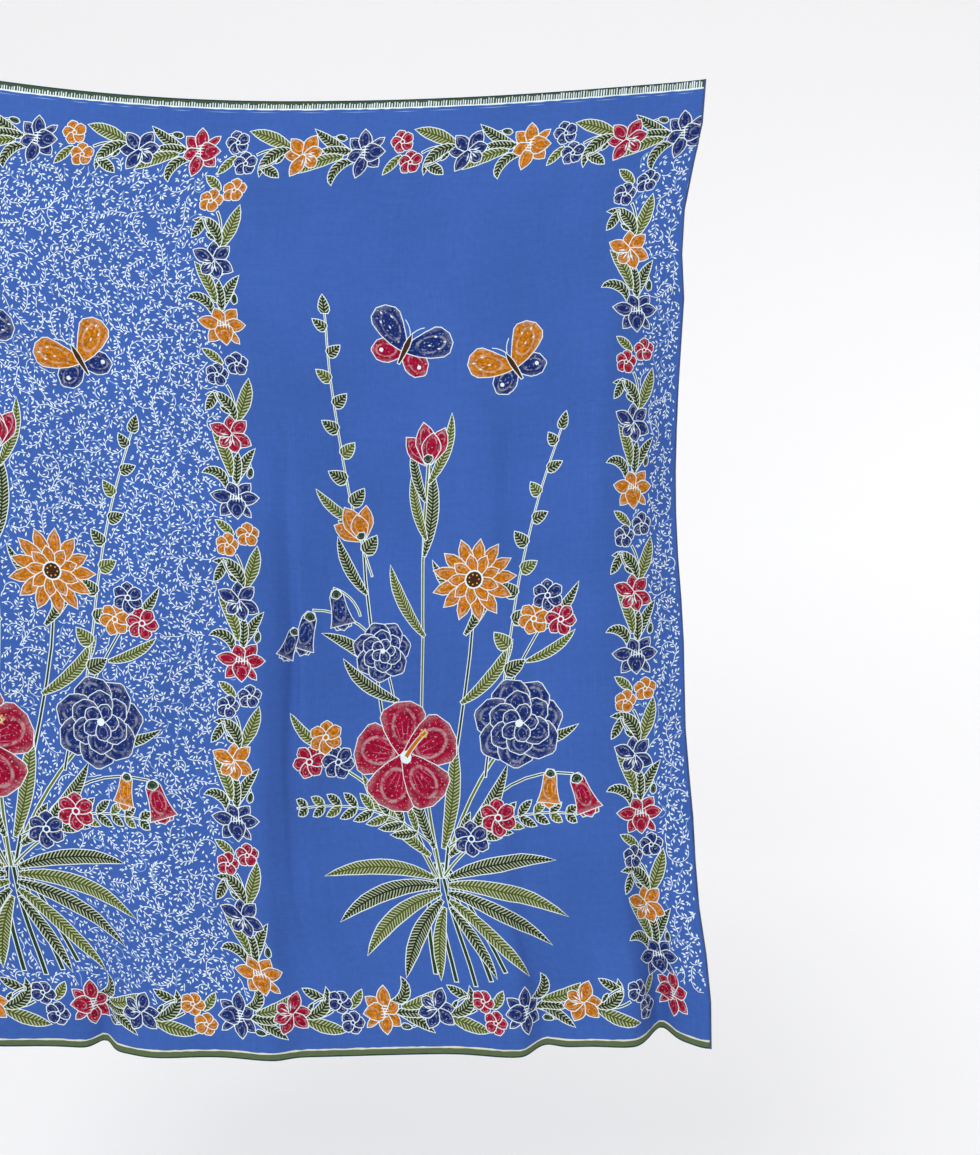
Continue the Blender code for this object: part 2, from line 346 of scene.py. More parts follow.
# Outlines of petals and leaves, as (share of the length, half width as a share of the width)
POINTED = ((0.0, 0.16), (0.25, 0.36), (0.5, 0.5), (0.72, 0.42), (0.88, 0.22), (1.0, 0.0))
ROUND = ((0.0, 0.14), (0.2, 0.36), (0.5, 0.5), (0.78, 0.46), (0.93, 0.27), (1.0, 0.06))
HEART = ((0.0, 0.30), (0.14, 0.47), (0.34, 0.5), (0.62, 0.38), (0.84, 0.19), (1.0, 0.0))
SLIM = ((0.0, 0.2), (0.3, 0.4), (0.6, 0.5), (0.85, 0.34), (1.0, 0.0))
BROAD = ((0.0, 0.12), (0.25, 0.3), (0.5, 0.43), (0.75, 0.5), (0.9, 0.42), (1.0, 0.16))
BELL = ((0.0, 0.14), (0.15, 0.27), (0.5, 0.31), (0.78, 0.38), (1.0, 0.5))
BLADE = ((0.0, 0.14), (0.18, 0.36), (0.45, 0.5), (0.7, 0.42), (0.88, 0.22), (1.0, 0.0))
STEM = ((0.0, 0.5), (1.0, 0.42))


def blade(profile, length, width, bend, steps):
    """Outline and midrib of a shape from the origin along +x, which turns by bend."""
    shares = np.linspace(0.0, 1.0, steps + 1)
    middle = bend * (shares[:-1] + shares[1:]) / 2.0
    moves = np.stack([np.cos(middle), np.sin(middle)], axis=1) * length / steps
    spine = np.concatenate(([[0.0, 0.0]], np.cumsum(moves, axis=0)))
    at, halves = np.array(profile).T
    half = np.interp(shares, at, halves) * width
    side = np.stack([-np.sin(bend * shares), np.cos(bend * shares)], axis=1)
    left, right = spine + side * half[:, None], spine - side * half[:, None]
    tip = left[-1:] if half[-1] < 1e-6 else np.stack([right[-1], left[-1]])
    return np.concatenate((right[:-1], tip, left[:-1][::-1])), spine


class Pen:
    """Draws at one place of the cloth, with x to the right and y up as a viewer sees them."""

    RIM = 0.5
    INSET = -0.42
    LEAN = 2.0
    STRETCH = 0.04
    LEAST_HALF = 0.5

    def __init__(self, drawing, s, t, turn=0.0, seed=0):
        self.drawing, self.s, self.t, self.turn = drawing, s, t, turn
        self.random = random.Random(seed)

    def placed(self, points):
        c, n = math.cos(self.turn), math.sin(self.turn)
        x, y = np.asarray(points, float).T
        return np.stack([self.s - (x * c - y * n), self.t - (x * n + y * c)], axis=1)

    def at(self, x, y, turn=0.0):
        """A pen of its own at (x, y), turned further."""
        s, t = self.placed([(x, y)])[0]
        return Pen(self.drawing, s, t, self.turn + turn, self.random.random())

    def blade(self, x, y, angle, length, width, profile, dye, bend=0.0, kind=PETAL, steps=6,
              rim=True, waver=1.0):
        """A petal, leaf or stem from (x, y) at an angle in degrees, both slightly uneven."""
        angle = math.radians(angle + waver * self.random.uniform(-self.LEAN, self.LEAN))
        length *= 1.0 + waver * self.random.uniform(-self.STRETCH, self.STRETCH)
        outline, spine = blade(profile, length, width, math.radians(bend), steps)
        c, n = math.cos(angle), math.sin(angle)
        turned = np.array([[c, n], [-n, c]])
        outline = self.placed(outline @ turned + (x, y))
        spine = self.placed(spine @ turned + (x, y))
        if rim:
            self.drawing.add(grown(outline, self.RIM), "white")
            outline = grown(outline, self.INSET)
        self.drawing.add(outline, dye, kind, spine, max(width / 2.0, self.LEAST_HALF))

    def stroke(self, x, y, angle, length, width, dye="white"):
        """A short mark, widest in its middle."""
        c, n = math.cos(math.radians(angle)), math.sin(math.radians(angle))
        outline = ((0.0, 0.0), (0.5, -0.5), (1.0, 0.0), (0.5, 0.5))
        points = [(x + length * u * c - width * v * n, y + length * u * n + width * v * c)
                  for u, v in outline]
        self.drawing.add(self.placed(points), dye)

    def dot(self, x, y, radius, dye, sides=8):
        angles = np.arange(sides) * math.tau / sides
        ring = np.stack([x + radius * np.cos(angles), y + radius * np.sin(angles)], axis=1)
        self.drawing.add(self.placed(ring), dye)


# Border flowers: petals as (angle, length, width, profile), from the back one to the front one
LILY = (
    (40, 26, 9, SLIM),
    (137, 24, 15, POINTED),
    (92, 25, 15, POINTED),
    (200, 20, 15, POINTED),
    (-42, 24, 15, POINTED),
    (-100, 27, 15, POINTED),
    (4, 22, 20, HEART),
)
STAR = (
    (180, 22, 14, POINTED),
    (134, 24, 15, POINTED),
    (62, 24, 16, POINTED),
    (14, 21, 15, POINTED),
    (-42, 18, 13, ROUND),
    (-118, 25, 15, POINTED),
)


def lily(pen, dye):
    for angle, length, width, profile in LILY:
        pen.blade(0, 0, angle, length, width, profile, dye)
    for turn in range(5):
        pen.stroke(5.0 - 0.6 * turn, 7.0 - 3.3 * turn, 186 - 4 * turn, 10.0, 1.7)


def star(pen, dye):
    for angle, length, width, profile in STAR:
        pen.blade(0, 0, angle, length, width, profile, dye)
    for turn in range(5):
        x, y = turned_round(0, 0, 16 - 28 * turn, 2.6)
        pen.stroke(x, y, 16 - 28 * turn, 9.5, 1.6)


def small_flower(pen, dye, radius=13.0, petals=5):
    for turn in range(petals):
        pen.blade(0, 0, 90 + 360 * turn / petals, radius, radius * 4.7 / petals, ROUND, dye, steps=5)
    pen.dot(0, 0, radius * 0.22, "white", 8)
    pen.dot(0, 0, radius * 0.14, dye, 6)


def leaf(pen, x, y, angle, length, width, dye, bend, steps=7):
    pen.blade(x, y, angle, length, width, BLADE, dye, bend, LEAF, steps)


def stem(pen, x, y, angle, length, bend, width=2.4):
    pen.blade(x, y, angle, length, width, STEM, DARK, bend, PLAIN, 5)


def stem_to(pen, x, y, to_x, to_y, bend, width, dye, steps=8):
    """A stem from one point to another, which turns by bend degrees on its way."""
    half = math.radians(bend) / 2.0
    chord = math.hypot(to_x - x, to_y - y)
    length = chord * half / math.sin(half) if abs(half) > 0.001 else chord
    angle = math.degrees(math.atan2(to_y - y, to_x - x)) - bend / 2.0
    pen.blade(x, y, angle, length, width, STEM, dye, bend, PLAIN, steps, waver=0.0)


def bud(pen, x, y, angle):
    pen.blade(x, y, angle, 12.0, 7.0, ROUND, DARK, steps=5)


BORDER_PITCH = 179.5


def border_group(pen, colours, pitch):
    """One repeat of the border along +x: from a lily to just before the next one."""
    first, second, third = colours
    k = pitch / BORDER_PITCH
    stem(pen, 62 * k, -2, 32, 26, -34)
    leaf(pen, 99 * k, 5, 150, 50, 15, OLIVE, 20)
    leaf(pen, 100 * k, 2, 168, 50, 13, DARK, 112, 9)
    leaf(pen, 68 * k, -15, -18, 26, 11, DARK, -22)
    stem(pen, 70 * k, -16, 16, 16, 22, 2.0)
    leaf(pen, 84 * k, -11, 46, 13, 5, DARK, 10, 5)
    stem(pen, 126 * k, 8, -74, 24, 40, 2.0)
    stem(pen, 139 * k, 15, 30, 10, -34, 2.0)
    bud(pen, 147 * k, 18, -12)
    leaf(pen, 166 * k, -1, 160, 50, 12, DARK, -24)
    leaf(pen, 164 * k, 2, 186, 34, 12, DARK, -18, 6)
    leaf(pen, 156 * k, -4, 184, 50, 13, OLIVE, 36)
    leaf(pen, 168 * k, -10, 172, 38, 12, DARK, 130, 8)
    leaf(pen, 40 * k, -4, 224, 26, 10, OLIVE, 14)
    small_flower(pen.at(39.5 * k, 11, 0.3), second)
    small_flower(pen.at(51.0 * k, -11.5, 0.1), second)
    star(pen.at(113.5 * k, -2), third)
    if first:
        lily(pen, first)


def turned_round(x, y, angle, reach):
    """The point at reach from (x, y) in a direction in degrees."""
    return x + reach * math.cos(math.radians(angle)), y + reach * math.sin(math.radians(angle))


def pen_path(x, y, to_x, to_y, bend, count):
    """Points spread along the arc that stem_to draws, as (x, y, heading in degrees)."""
    chord = math.hypot(to_x - x, to_y - y)
    straight = math.degrees(math.atan2(to_y - y, to_x - x))
    path = []
    for turn in range(count):
        share = (turn + 1.0) / (count + 0.6)
        bow = -chord * math.tan(math.radians(bend) / 4.0) / 2.0 * 4.0 * share * (1.0 - share)
        px, py = turned_round(x, y, straight, chord * share)
        px, py = turned_round(px, py, straight + 90.0, bow)
        path.append((px, py, straight + bend * (share - 0.5)))
    return path


def hibiscus(pen, dye, size):
    """Five broad petals with fine veins and a yellow column."""
    for angle in (160, 88, 20, 236, 304):
        pen.blade(0, 0, angle, size, size * 0.94, BROAD, dye, steps=8)
        for lean in (-17, -6, 6, 17):
            x, y = turned_round(0, 0, angle + lean, size * 0.26)
            pen.stroke(x, y, angle + lean * 1.1, size * 0.42, 1.2, dye + "_light")
    pen.dot(0, 0, size * 0.12, "white", 9)
    pen.blade(0, 0, 52, size * 0.62, size * 0.09, STEM, GOLD, -18, PLAIN, 5)
    for turn in range(6):
        x, y = turned_round(size * 0.42, size * 0.4, 60 * turn, size * 0.07)
        pen.dot(x, y, 1.5, "yellow_light", 6)


def aster(pen, dye, size):
    """Two rings of slim petals round a dotted middle."""
    for turn in range(13):
        pen.blade(0, 0, 360 * turn / 13, size, size * 0.34, SLIM, dye, steps=5)
    for turn in range(9):
        pen.blade(0, 0, 20 + 360 * turn / 9, size * 0.62, size * 0.3, SLIM, dye, steps=5)
    pen.dot(0, 0, size * 0.23, "white", 12)
    pen.dot(0, 0, size * 0.19, "brown", 12)
    for turn in range(7):
        x, y = turned_round(0, 0, 360 * turn / 7, size * 0.12)
        pen.dot(x, y, 1.0, "yellow_light", 5)


def rosette(pen, dye, size):
    """A full flower of three rings of round petals."""
    for petals, share, start in ((7, 1.0, 10), (6, 0.7, 35), (5, 0.42, 0)):
        for turn in range(petals):
            angle = start + 360 * turn / petals
            pen.blade(0, 0, angle, size * share, size * share * 0.86, ROUND, dye, steps=6)
            x, y = turned_round(0, 0, angle, size * share * 0.72)
            pen.stroke(x, y, angle, size * share * 0.16, 0.9, dye + "_light")
    pen.dot(0, 0, size * 0.09, "white", 8)


def bell(pen, x, y, angle, dye, size):
    """A hanging bell with a scalloped rim and a green cap."""
    rim_x, rim_y = turned_round(x, y, angle, size * 0.82)
    for lean in (-38, 38, 0):
        pen.blade(rim_x, rim_y, angle + lean, size * 0.36, size * 0.36, POINTED, dye, steps=4)
    pen.blade(x, y, angle, size, size * 0.72, BELL, dye, steps=6)
    for lean in (-7, 7):
        start_x, start_y = turned_round(x, y, angle + lean, size * 0.35)
        pen.stroke(start_x, start_y, angle + lean, size * 0.4, 0.9, dye + "_light")
    pen.blade(x, y, angle, size * 0.26, size * 0.3, ROUND, DARK, steps=4)


def poppy(pen, x, y, angle, dye, size):
    """An upright cup of four petals."""
    for lean, length, width in ((-34, 0.92, 0.5), (34, 0.92, 0.5), (0, 1.0, 0.56), (-14, 0.72, 0.5)):
        pen.blade(x, y, angle + lean, size * length, size * width, POINTED, dye, steps=6)
    pen.blade(x, y, angle, size * 0.22, size * 0.26, ROUND, DARK, steps=4)


def vine(pen, x, y, to_x, to_y, bend, pairs, size):
    """A thin climbing stem with round leaves on alternate sides."""
    spine = pen_path(x, y, to_x, to_y, bend, pairs)
    stem_to(pen, x, y, to_x, to_y, bend, 2.0, OLIVE, 9)
    for turn, (px, py, heading) in enumerate(spine):
        side = 1 if turn % 2 else -1
        dye = OLIVE if turn % 3 == 1 else DARK
        reach = size * (1.0 - 0.35 * turn / pairs)
        pen.blade(px, py, heading + side * 58, reach, reach * 0.72, HEART, dye, -side * 12, LEAF, 6)
    pen.blade(to_x, to_y, spine[-1][2], size * 0.8, size * 0.5, HEART, DARK, 0.0, LEAF, 6)


def fern(pen, x, y, to_x, to_y, bend, pairs, size):
    """A frond: slim leaflets in pairs along a stem."""
    stem_to(pen, x, y, to_x, to_y, bend, 2.0, DARK, 8)
    for turn, (px, py, heading) in enumerate(pen_path(x, y, to_x, to_y, bend, pairs)):
        reach = size * (1.05 - 0.65 * turn / pairs)
        for side in (-1, 1):
            dye = OLIVE if (turn + (side > 0)) % 3 == 0 else DARK
            angle, width = heading + side * 50, size * 0.34
            pen.blade(px, py, angle, reach, width, BLADE, dye, -side * 22, LEAF, 5)


def butterfly(pen, x, y, angle, upper, lower, size):
    """Four open wings with spots, a body and feelers."""
    for side in (-1, 1):
        lower_angle, upper_angle = angle + side * 122, angle + side * 62
        pen.blade(x, y, lower_angle, size * 0.72, size * 0.52, ROUND, lower, -side * 10, steps=6)
        pen.blade(x, y, upper_angle, size, size * 0.66, BROAD, upper, -side * 16, steps=8)
        for reach, lean in ((0.5, 4), (0.68, -10), (0.7, 12), (0.84, 2)):
            px, py = turned_round(x, y, angle + side * (54 + lean), size * reach)
            pen.stroke(px, py, upper_angle, 4.4, 1.9)
        px, py = turned_round(x, y, angle + side * 117, size * 0.5)
        pen.dot(px, py, 2.4, "white", 7)
        px, py = turned_round(x, y, angle, size * 0.3)
        feeler = angle + side * 18
        pen.blade(px, py, feeler, size * 0.36, 1.0, STEM, "white", side * 40, PLAIN, 4, rim=False)
    px, py = turned_round(x, y, angle, -size * 0.34)
    pen.blade(px, py, angle, size * 0.7, size * 0.13, SLIM, "brown", 0.0, PLAIN, 5)


def cluster(pen, x, y, dyes, radius):
    """Three small round flowers set close."""
    for dye, (dx, dy) in zip(dyes, ((-0.86, -0.5), (0.86, -0.62), (0.05, 0.86))):
        small_flower(pen.at(x + dx * radius, y + dy * radius, 0.4 * dx), dye, radius, 6)


# The spray: feet as (x, y, bend), stems as (x, y, to x, to y, bend, width, dye) and leaves as
# (x, y, angle, length, width, bend, dye)
FEET = ((-36, 4, -14), (-15, -4, -6), (6, -8, 4), (25, -2, 10), (44, 8, 16))
LONG_STEMS = (
    (0, 108, -34, 232, 16, 3.8, DARK), (2, 108, 98, 268, -24, 3.6, OLIVE),
    (4, 108, 44, 430, 12, 3.4, DARK), (0, 108, -10, 566, -9, 3.4, OLIVE),
    (-4, 108, -88, 486, -22, 3.2, DARK), (-6, 108, -126, 240, 40, 3.0, OLIVE),
    (-34, 210, -66, 350, 18, 2.8, DARK), (60, 216, 124, 384, -26, 2.8, DARK),
    (-62, 340, -146, 404, 74, 2.4, OLIVE), (-92, 396, -122, 428, 60, 2.2, OLIVE),
    (36, 160, 156, 214, -70, 2.6, DARK), (3, 110, 62, 158, -22, 2.6, OLIVE),
)
LONG_LEAVES = (
    (-4, 92, 196, 120, 17, 36, OLIVE), (-6, 100, 178, 130, 18, 40, DARK),
    (-8, 108, 162, 122, 17, 32, OLIVE), (-4, 84, 218, 108, 16, 26, DARK),
    (-3, 76, 240, 86, 14, 18, OLIVE), (4, 92, -14, 120, 17, -36, DARK),
    (6, 100, 4, 130, 18, -40, OLIVE), (8, 108, 20, 120, 17, -30, DARK),
    (4, 84, -38, 106, 16, -26, OLIVE), (3, 76, -58, 84, 14, -20, DARK),
    (-10, 132, 146, 116, 17, -36, OLIVE), (12, 132, 38, 124, 17, 32, DARK),
    (-4, 140, 116, 112, 16, -22, DARK), (6, 140, 70, 118, 16, 20, OLIVE),
    (-44, 300, 166, 84, 14, -44, DARK), (33, 297, 32, 92, 15, 40, OLIVE),
    (-12, 372, 140, 96, 15, -38, OLIVE), (34, 372, 52, 86, 14, 30, DARK),
    (-13, 460, 72, 104, 15, 30, DARK), (-10, 478, 118, 78, 13, -24, OLIVE),
    (-84, 420, 132, 74, 13, -30, DARK), (103, 339, 12, 64, 12, 36, OLIVE),
    (-9, 540, 56, 84, 13, 34, OLIVE), (-12, 520, 122, 66, 12, -30, DARK),
    (42, 404, 148, 70, 12, -34, DARK), (118, 372, 34, 70, 12, 30, DARK),
    (-92, 500, 160, 62, 12, -36, OLIVE), (-64, 330, 128, 88, 14, 34, DARK),
    (96, 250, -6, 74, 13, 40, DARK), (-126, 250, 150, 58, 12, -30, OLIVE),
)


def bouquet(pen):
    """A spray of garden flowers on arching stems: a design of this script's own."""
    for x, y, bend in FEET:
        stem_to(pen, x, y, x * 0.14, 124, bend, 4.6, DARK, 6)
    for x, y, to_x, to_y, bend, width, dye in LONG_STEMS:
        stem_to(pen, x, y, to_x, to_y, bend, width, dye)
    for x, y, angle, length, width, bend, dye in LONG_LEAVES:
        leaf(pen, x, y, angle, length, width, dye, bend, 10)
    fern(pen, -8, 146, -158, 186, 44, 8, 30)
    fern(pen, 12, 142, 156, 170, -44, 8, 30)
    vine(pen, 78, 300, 138, 590, -16, 10, 25)
    vine(pen, -78, 440, -116, 730, -22, 10, 25)
    for x, y, angle, size in ((-148, 402, 256, 42), (-120, 426, 282, 40), (-166, 384, 248, 33)):
        bell(pen, x, y, angle, NAVY, size)
    bell(pen, 158, 214, 286, RED, 42)
    bell(pen, 132, 220, 262, GOLD, 36)
    poppy(pen, -10, 562, 96, RED, 46)
    poppy(pen, -88, 482, 118, GOLD, 40)
    aster(pen.at(44, 432), GOLD, 46)
    rosette(pen.at(98, 272), NAVY, 50)
    cluster(pen, -126, 246, (RED, NAVY, GOLD), 19)
    cluster(pen, 126, 394, (GOLD, RED, NAVY), 18)
    rosette(pen.at(-66, 356), NAVY, 34)
    hibiscus(pen.at(-32, 238, 0.1), RED, 62)
    small_flower(pen.at(70, 172), RED, 21, 6)
    small_flower(pen.at(38, 150), NAVY, 20, 6)
    butterfly(pen, -32, 690, 62, NAVY, RED, 52)
    butterfly(pen, 88, 664, 118, GOLD, NAVY, 50)


BOUQUET_SEED = 500
BOUQUETS = ((284, 960), (760, 956), (1236, 958), (1712, 960))


def draw_bouquets(drawing):
    for index, (s, t) in enumerate(BOUQUETS):
        bouquet(Pen(drawing, s, t, 0.0, BOUQUET_SEED + index))


# Dyes of each group's lily, small flowers and star, in turn
CYCLE = ((GOLD, NAVY, RED), (NAVY, GOLD, NAVY), (RED, NAVY, GOLD), (NAVY, RED, NAVY))

# Lilies of the border. The top run goes right and the bottom run left. Columns go down, each as
# (s, places down the cloth, start in the colour cycle, dyes of the group that has no lily).
TOP_LILIES = (1981, 1802, 1623, 1443, 1264, 1084, 905, 725, 547, 368, 187, 19)
TOP_T = 57
BOTTOM_LILIES = (46, 229, 387, 546, 715, 884, 1050, 1216, 1382, 1548, 1714, 1880, 2046)
BOTTOM_T = 995
COLUMNS = (
    (512, (56, 245, 434, 611, 784, 949), 3, (GOLD, NAVY)),
    (58, (66, 249, 442, 623, 796, 955), 2, (NAVY, GOLD)),
)
TOP_SEED, END_SEED, BOTTOM_SEED, COLUMN_SEED = 0, 40, 60, 90


def draw_run(drawing, lilies, t, turn, seed):
    """One group for each lily but the last, which only ends the run."""
    for index, (s, following) in enumerate(zip(lilies, lilies[1:])):
        pen = Pen(drawing, s, t, turn, seed + index)
        border_group(pen, CYCLE[(index + 2) % len(CYCLE)], abs(following - s))


def draw_column(drawing, s, lilies, start, first_dyes):
    """Groups down the cloth, the first without its lily, and a lily that ends them."""
    for index, t in enumerate(lilies):
        colours = CYCLE[(index + start) % len(CYCLE)] if index else (None, *first_dyes)
        pen = Pen(drawing, s, t, -math.pi / 2.0, COLUMN_SEED + index + s)
        if index + 1 < len(lilies):
            border_group(pen, colours, lilies[index + 1] - t)
        else:
            lily(pen, colours[0])


def draw_border(drawing):
    draw_run(drawing, TOP_LILIES, TOP_T, 0.0, TOP_SEED)
    lily(Pen(drawing, TOP_LILIES[-1], TOP_T, 0.0, END_SEED), NAVY)
    draw_run(drawing, BOTTOM_LILIES, BOTTOM_T, math.pi, BOTTOM_SEED)
    for column in COLUMNS:
        draw_column(drawing, *column)


# Bands as (distance from the edge, waver, dye), and the selvage's ticks and dashes
SELVAGE_BANDS = ((9.9, 0.4, "white"), (8.4, 0.25, "selvage"), (1.3, 0.15, DARK))
HEM_BANDS = ((8.6, 0.45, "cream"), (7.0, 0.3, "hem_green"), (1.5, 0.2, DARK))
BAND_STEP, BAND_SEED = 6.0, 5
TICKS_START, TICKS_END, TICK_BASE = 1.2, 2.5, 8.9
TICK_TOP, TICK_RISE, TICK_SPAN = 1.6, 2.4, 520.0
DASHES_START, DASHES_END, DASH_T = 12.0, 60.0, 12.9


def draw_bands(drawing):
    """The green selvage along the top, with white ticks, and the green band along the hem."""
    rng = random.Random(BAND_SEED)
    places = np.arange(0.0, LENGTH + BAND_STEP, BAND_STEP)
    places[-1] = LENGTH

    def strip(upper, lower, dye):
        drawing.add(np.concatenate((np.stack([places, upper], axis=1),
                                    np.stack([places, lower], axis=1)[::-1])), dye)

    def wavy(level, spread):
        return np.array([level + rng.uniform(-spread, spread) for _ in places])

    top, base = np.full_like(places, INSIDE), np.full_like(places, DROP - INSIDE)
    for level, spread, dye in SELVAGE_BANDS:
        strip(top, wavy(level, spread), dye)
    s = TICKS_START
    while s < LENGTH - TICKS_END:
        width = rng.uniform(0.85, 1.5)
        high = TICK_TOP + TICK_RISE * float(smooth(s / TICK_SPAN)) + rng.uniform(-0.9, 1.1)
        tick = [(s, high), (s + width, high), (s + width, TICK_BASE), (s, TICK_BASE)]
        drawing.add(tick, "white")
        s += rng.uniform(2.3, 3.2)
    s = DASHES_START
    while s < LENGTH - DASHES_END:
        span, t = rng.uniform(16.0, 48.0), DASH_T + rng.uniform(-0.25, 0.25)
        drawing.add([(s, t), (s + span / 2, t + 0.3), (s + span, t), (s + span / 2, t - 0.3)], "pale")
        s += span + rng.uniform(2.0, 14.0)
    for level, spread, dye in HEM_BANDS:
        strip(wavy(DROP - level, spread), base, dye)


class Room:
    """Which square millimetres of the flat cloth already hold something."""

    def __init__(self):
        self.taken = np.zeros((int(DROP) + 2, int(LENGTH) + 2), bool)

    def cover(self, points):
        """Marks the cells inside a closed outline."""
        low = np.floor(points.min(axis=0)).astype(int)
        high = np.ceil(points.max(axis=0)).astype(int) + 1
        low = np.maximum(low, 0)
        high = np.minimum(high, (self.taken.shape[1], self.taken.shape[0]))
        if (high <= low).any():
            return
        s, t = np.meshgrid(np.arange(low[0], high[0]) + 0.5, np.arange(low[1], high[1]) + 0.5)
        inside = np.zeros(s.shape, bool)
        for (s0, t0), (s1, t1) in zip(points, np.roll(points, -1, axis=0)):
            crosses = (t0 > t) != (t1 > t)
            if t0 != t1:
                inside ^= crosses & (s < s0 + (t - t0) * (s1 - s0) / (t1 - t0))
        self.taken[low[1]:high[1], low[0]:high[0]] |= inside

    def free(self, places):
        for s, t in places:
            if not (0.0 < s < LENGTH and 0.0 < t < DROP) or self.taken[int(t), int(s)]:
                return False
        return True


# The ground of white leaves: its stretches as (from s, to s), and how far down it runs
GROUND_STRETCHES = ((4.0, 62.0), (515.0, LENGTH - 4.0))
GROUND_TOP, GROUND_END = 58.0, 988.0
GROUND_TRIES, GROUND_SEED = 90000, 11
MOTIF_MARGIN = 1.0

# Curls as (pitch along s, pitch along t, least radius, most radius)
CURL_SIZES = ((31.0, 27.0, 12.0, 19.0), (22.0, 19.0, 6.0, 11.0))
CURL_STEPS = 9
CURL_LEAST = 4
CURL_ROOM = 1.5

# Leaves: least and most measures, and the room that each kind keeps round itself
LEAF_LENGTHS, LEAF_WIDTHS, LEAF_PITCHES = (4.6, 7.0), (1.6, 2.05), (3.6, 4.9)
SMALL_LENGTHS, SMALL_WIDTH = (3.8, 4.9), 1.65
FAN = (-0.8, 0.0, 0.8)
LEAF_ROOM, STEM_LEAF_ROOM, TIP_LEAF_ROOM, SMALL_LEAF_ROOM, START_ROOM = 2.8, 2.0, 1.7, 1.9, 2.0
CROWD_CELL = 4.0


def in_ground(s, t):
    return GROUND_TOP < t < GROUND_END and any(low < s < high for low, high in GROUND_STRETCHES)


class LeafGround:
    """Curling thin stems with small white leaves, filled up with loose leaves."""

    def __init__(self, drawing, room):
        self.drawing, self.room = drawing, room
        self.random = random.Random(GROUND_SEED)
        self.crowd = {}

    def note(self, s, t):
        self.crowd.setdefault((int(s / CROWD_CELL), int(t / CROWD_CELL)), []).append((s, t))

    def clear(self, s, t, room):
        """Whether nothing of the ground lies within room of (s, t)."""
        column, row = int(s / CROWD_CELL), int(t / CROWD_CELL)
        for i in (column - 1, column, column + 1):
            for j in (row - 1, row, row + 1):
                for other_s, other_t in self.crowd.get((i, j), ()):
                    if (s - other_s) ** 2 + (t - other_t) ** 2 < room * room:
                        return False
        return True

    def leaf(self, s, t, angle, length, width, room):
        """One small leaf, if its place is free."""
        c, n = math.cos(angle), math.sin(angle)
        middle = (s + c * length * 0.6, t + n * length * 0.6)
        tip = (s + c * length * 1.1, t + n * length * 1.1)
        if not (in_ground(*middle) and in_ground(*tip) and self.room.free((middle, tip))):
            return
        if not (self.clear(*middle, room) and self.clear(*tip, room * 0.8)):
            return
        half = width / 2.0
        outline = ((0.12, 0.0), (0.6, -half), (1.0, 0.0), (0.6, half))
        points = [(s + c * length * u - n * v, t + n * length * u + c * v) for u, v in outline]
        self.drawing.add(points, "white")
        self.note(*middle)
        self.note(s + c * length * 0.95, t + n * length * 0.95)

    def some_leaf(self, s, t, angle, room):
        length, width = self.random.uniform(*LEAF_LENGTHS), self.random.uniform(*LEAF_WIDTHS)
        self.leaf(s, t, angle, length, width, room)

    def curl_path(self, s, t, radius):
        """Free places in a row along a line that curls in round (s, t)."""
        rng = self.random
        way = rng.choice((-1.0, 1.0))
        start, sweep = rng.uniform(0.0, math.tau), rng.uniform(3.4, 5.4)
        run = []
        for step in range(-3, CURL_STEPS + 1):
            share = step / CURL_STEPS
            if share < 0.0:
                reach, turned = radius * (1.0 - 1.5 * share), 0.35 * share * sweep
            else:
                reach, turned = radius * (1.0 - 0.55 * share), share * sweep
            angle = start + way * turned
            place = (s + reach * math.cos(angle), t + reach * math.sin(angle))
            if in_ground(*place) and self.room.free((place,)) and self.clear(*place, CURL_ROOM):
                run.append(place)
            elif len(run) < CURL_LEAST:
                run = []
            else:
                break
        return run

    def curl(self, s, t, radius):
        """A stem that curls round (s, t), with leaves along both of its sides."""
        rng = self.random
        run = self.curl_path(s, t, radius)
        if len(run) < CURL_LEAST:
            return
        dye = "pale" if rng.random() < 0.3 else "white"
        places = np.array(run)
        direction = np.gradient(places, axis=0)
        direction /= np.maximum(np.linalg.norm(direction, axis=1), 1e-9)[:, None]
        side = np.stack([-direction[:, 1], direction[:, 0]], axis=1)
        half = np.linspace(0.48, 0.3, len(places))[:, None]
        self.drawing.add(np.concatenate((places - side * half, (places + side * half)[::-1])), dye)
        steps = np.linalg.norm(np.diff(places, axis=0), axis=1)
        lengths = np.concatenate(([0.0], np.cumsum(steps)))
        at, first = 1.5, rng.choice((-1.0, 1.0))
        while at < lengths[-1]:
            x, y = (float(np.interp(at, lengths, places[:, axis])) for axis in (0, 1))
            index = min(int(np.searchsorted(lengths, at)), len(places) - 1)
            heading = math.atan2(direction[index, 1], direction[index, 0])
            for way in (first, -first)[: 2 if rng.random() < 0.6 else 1]:
                lean = heading + way * math.radians(rng.uniform(38.0, 66.0))
                self.some_leaf(x, y, lean, STEM_LEAF_ROOM)
            first = -first
            at += rng.uniform(*LEAF_PITCHES)
        heading = math.atan2(direction[-1, 1], direction[-1, 0])
        for lean in FAN:
            self.some_leaf(*run[-1], heading + lean, TIP_LEAF_ROOM)
        for place in run:
            self.note(*place)

    def fill(self, tries):
        """Loose leaves and threes wherever there is room."""
        rng = self.random
        for _ in range(tries):
            low, high = GROUND_STRETCHES[0 if rng.random() < 0.04 else 1]
            s, t = rng.uniform(low, high), rng.uniform(GROUND_TOP, GROUND_END)
            if not self.room.free(((s, t),)) or not self.clear(s, t, START_ROOM):
                continue
            angle = rng.uniform(0.0, math.tau)
            if rng.random() < 0.3:
                for lean in FAN:
                    length = rng.uniform(*SMALL_LENGTHS)
                    self.leaf(s, t, angle + lean, length, SMALL_WIDTH, SMALL_LEAF_ROOM)
            else:
                self.some_leaf(s, t, angle, LEAF_ROOM)

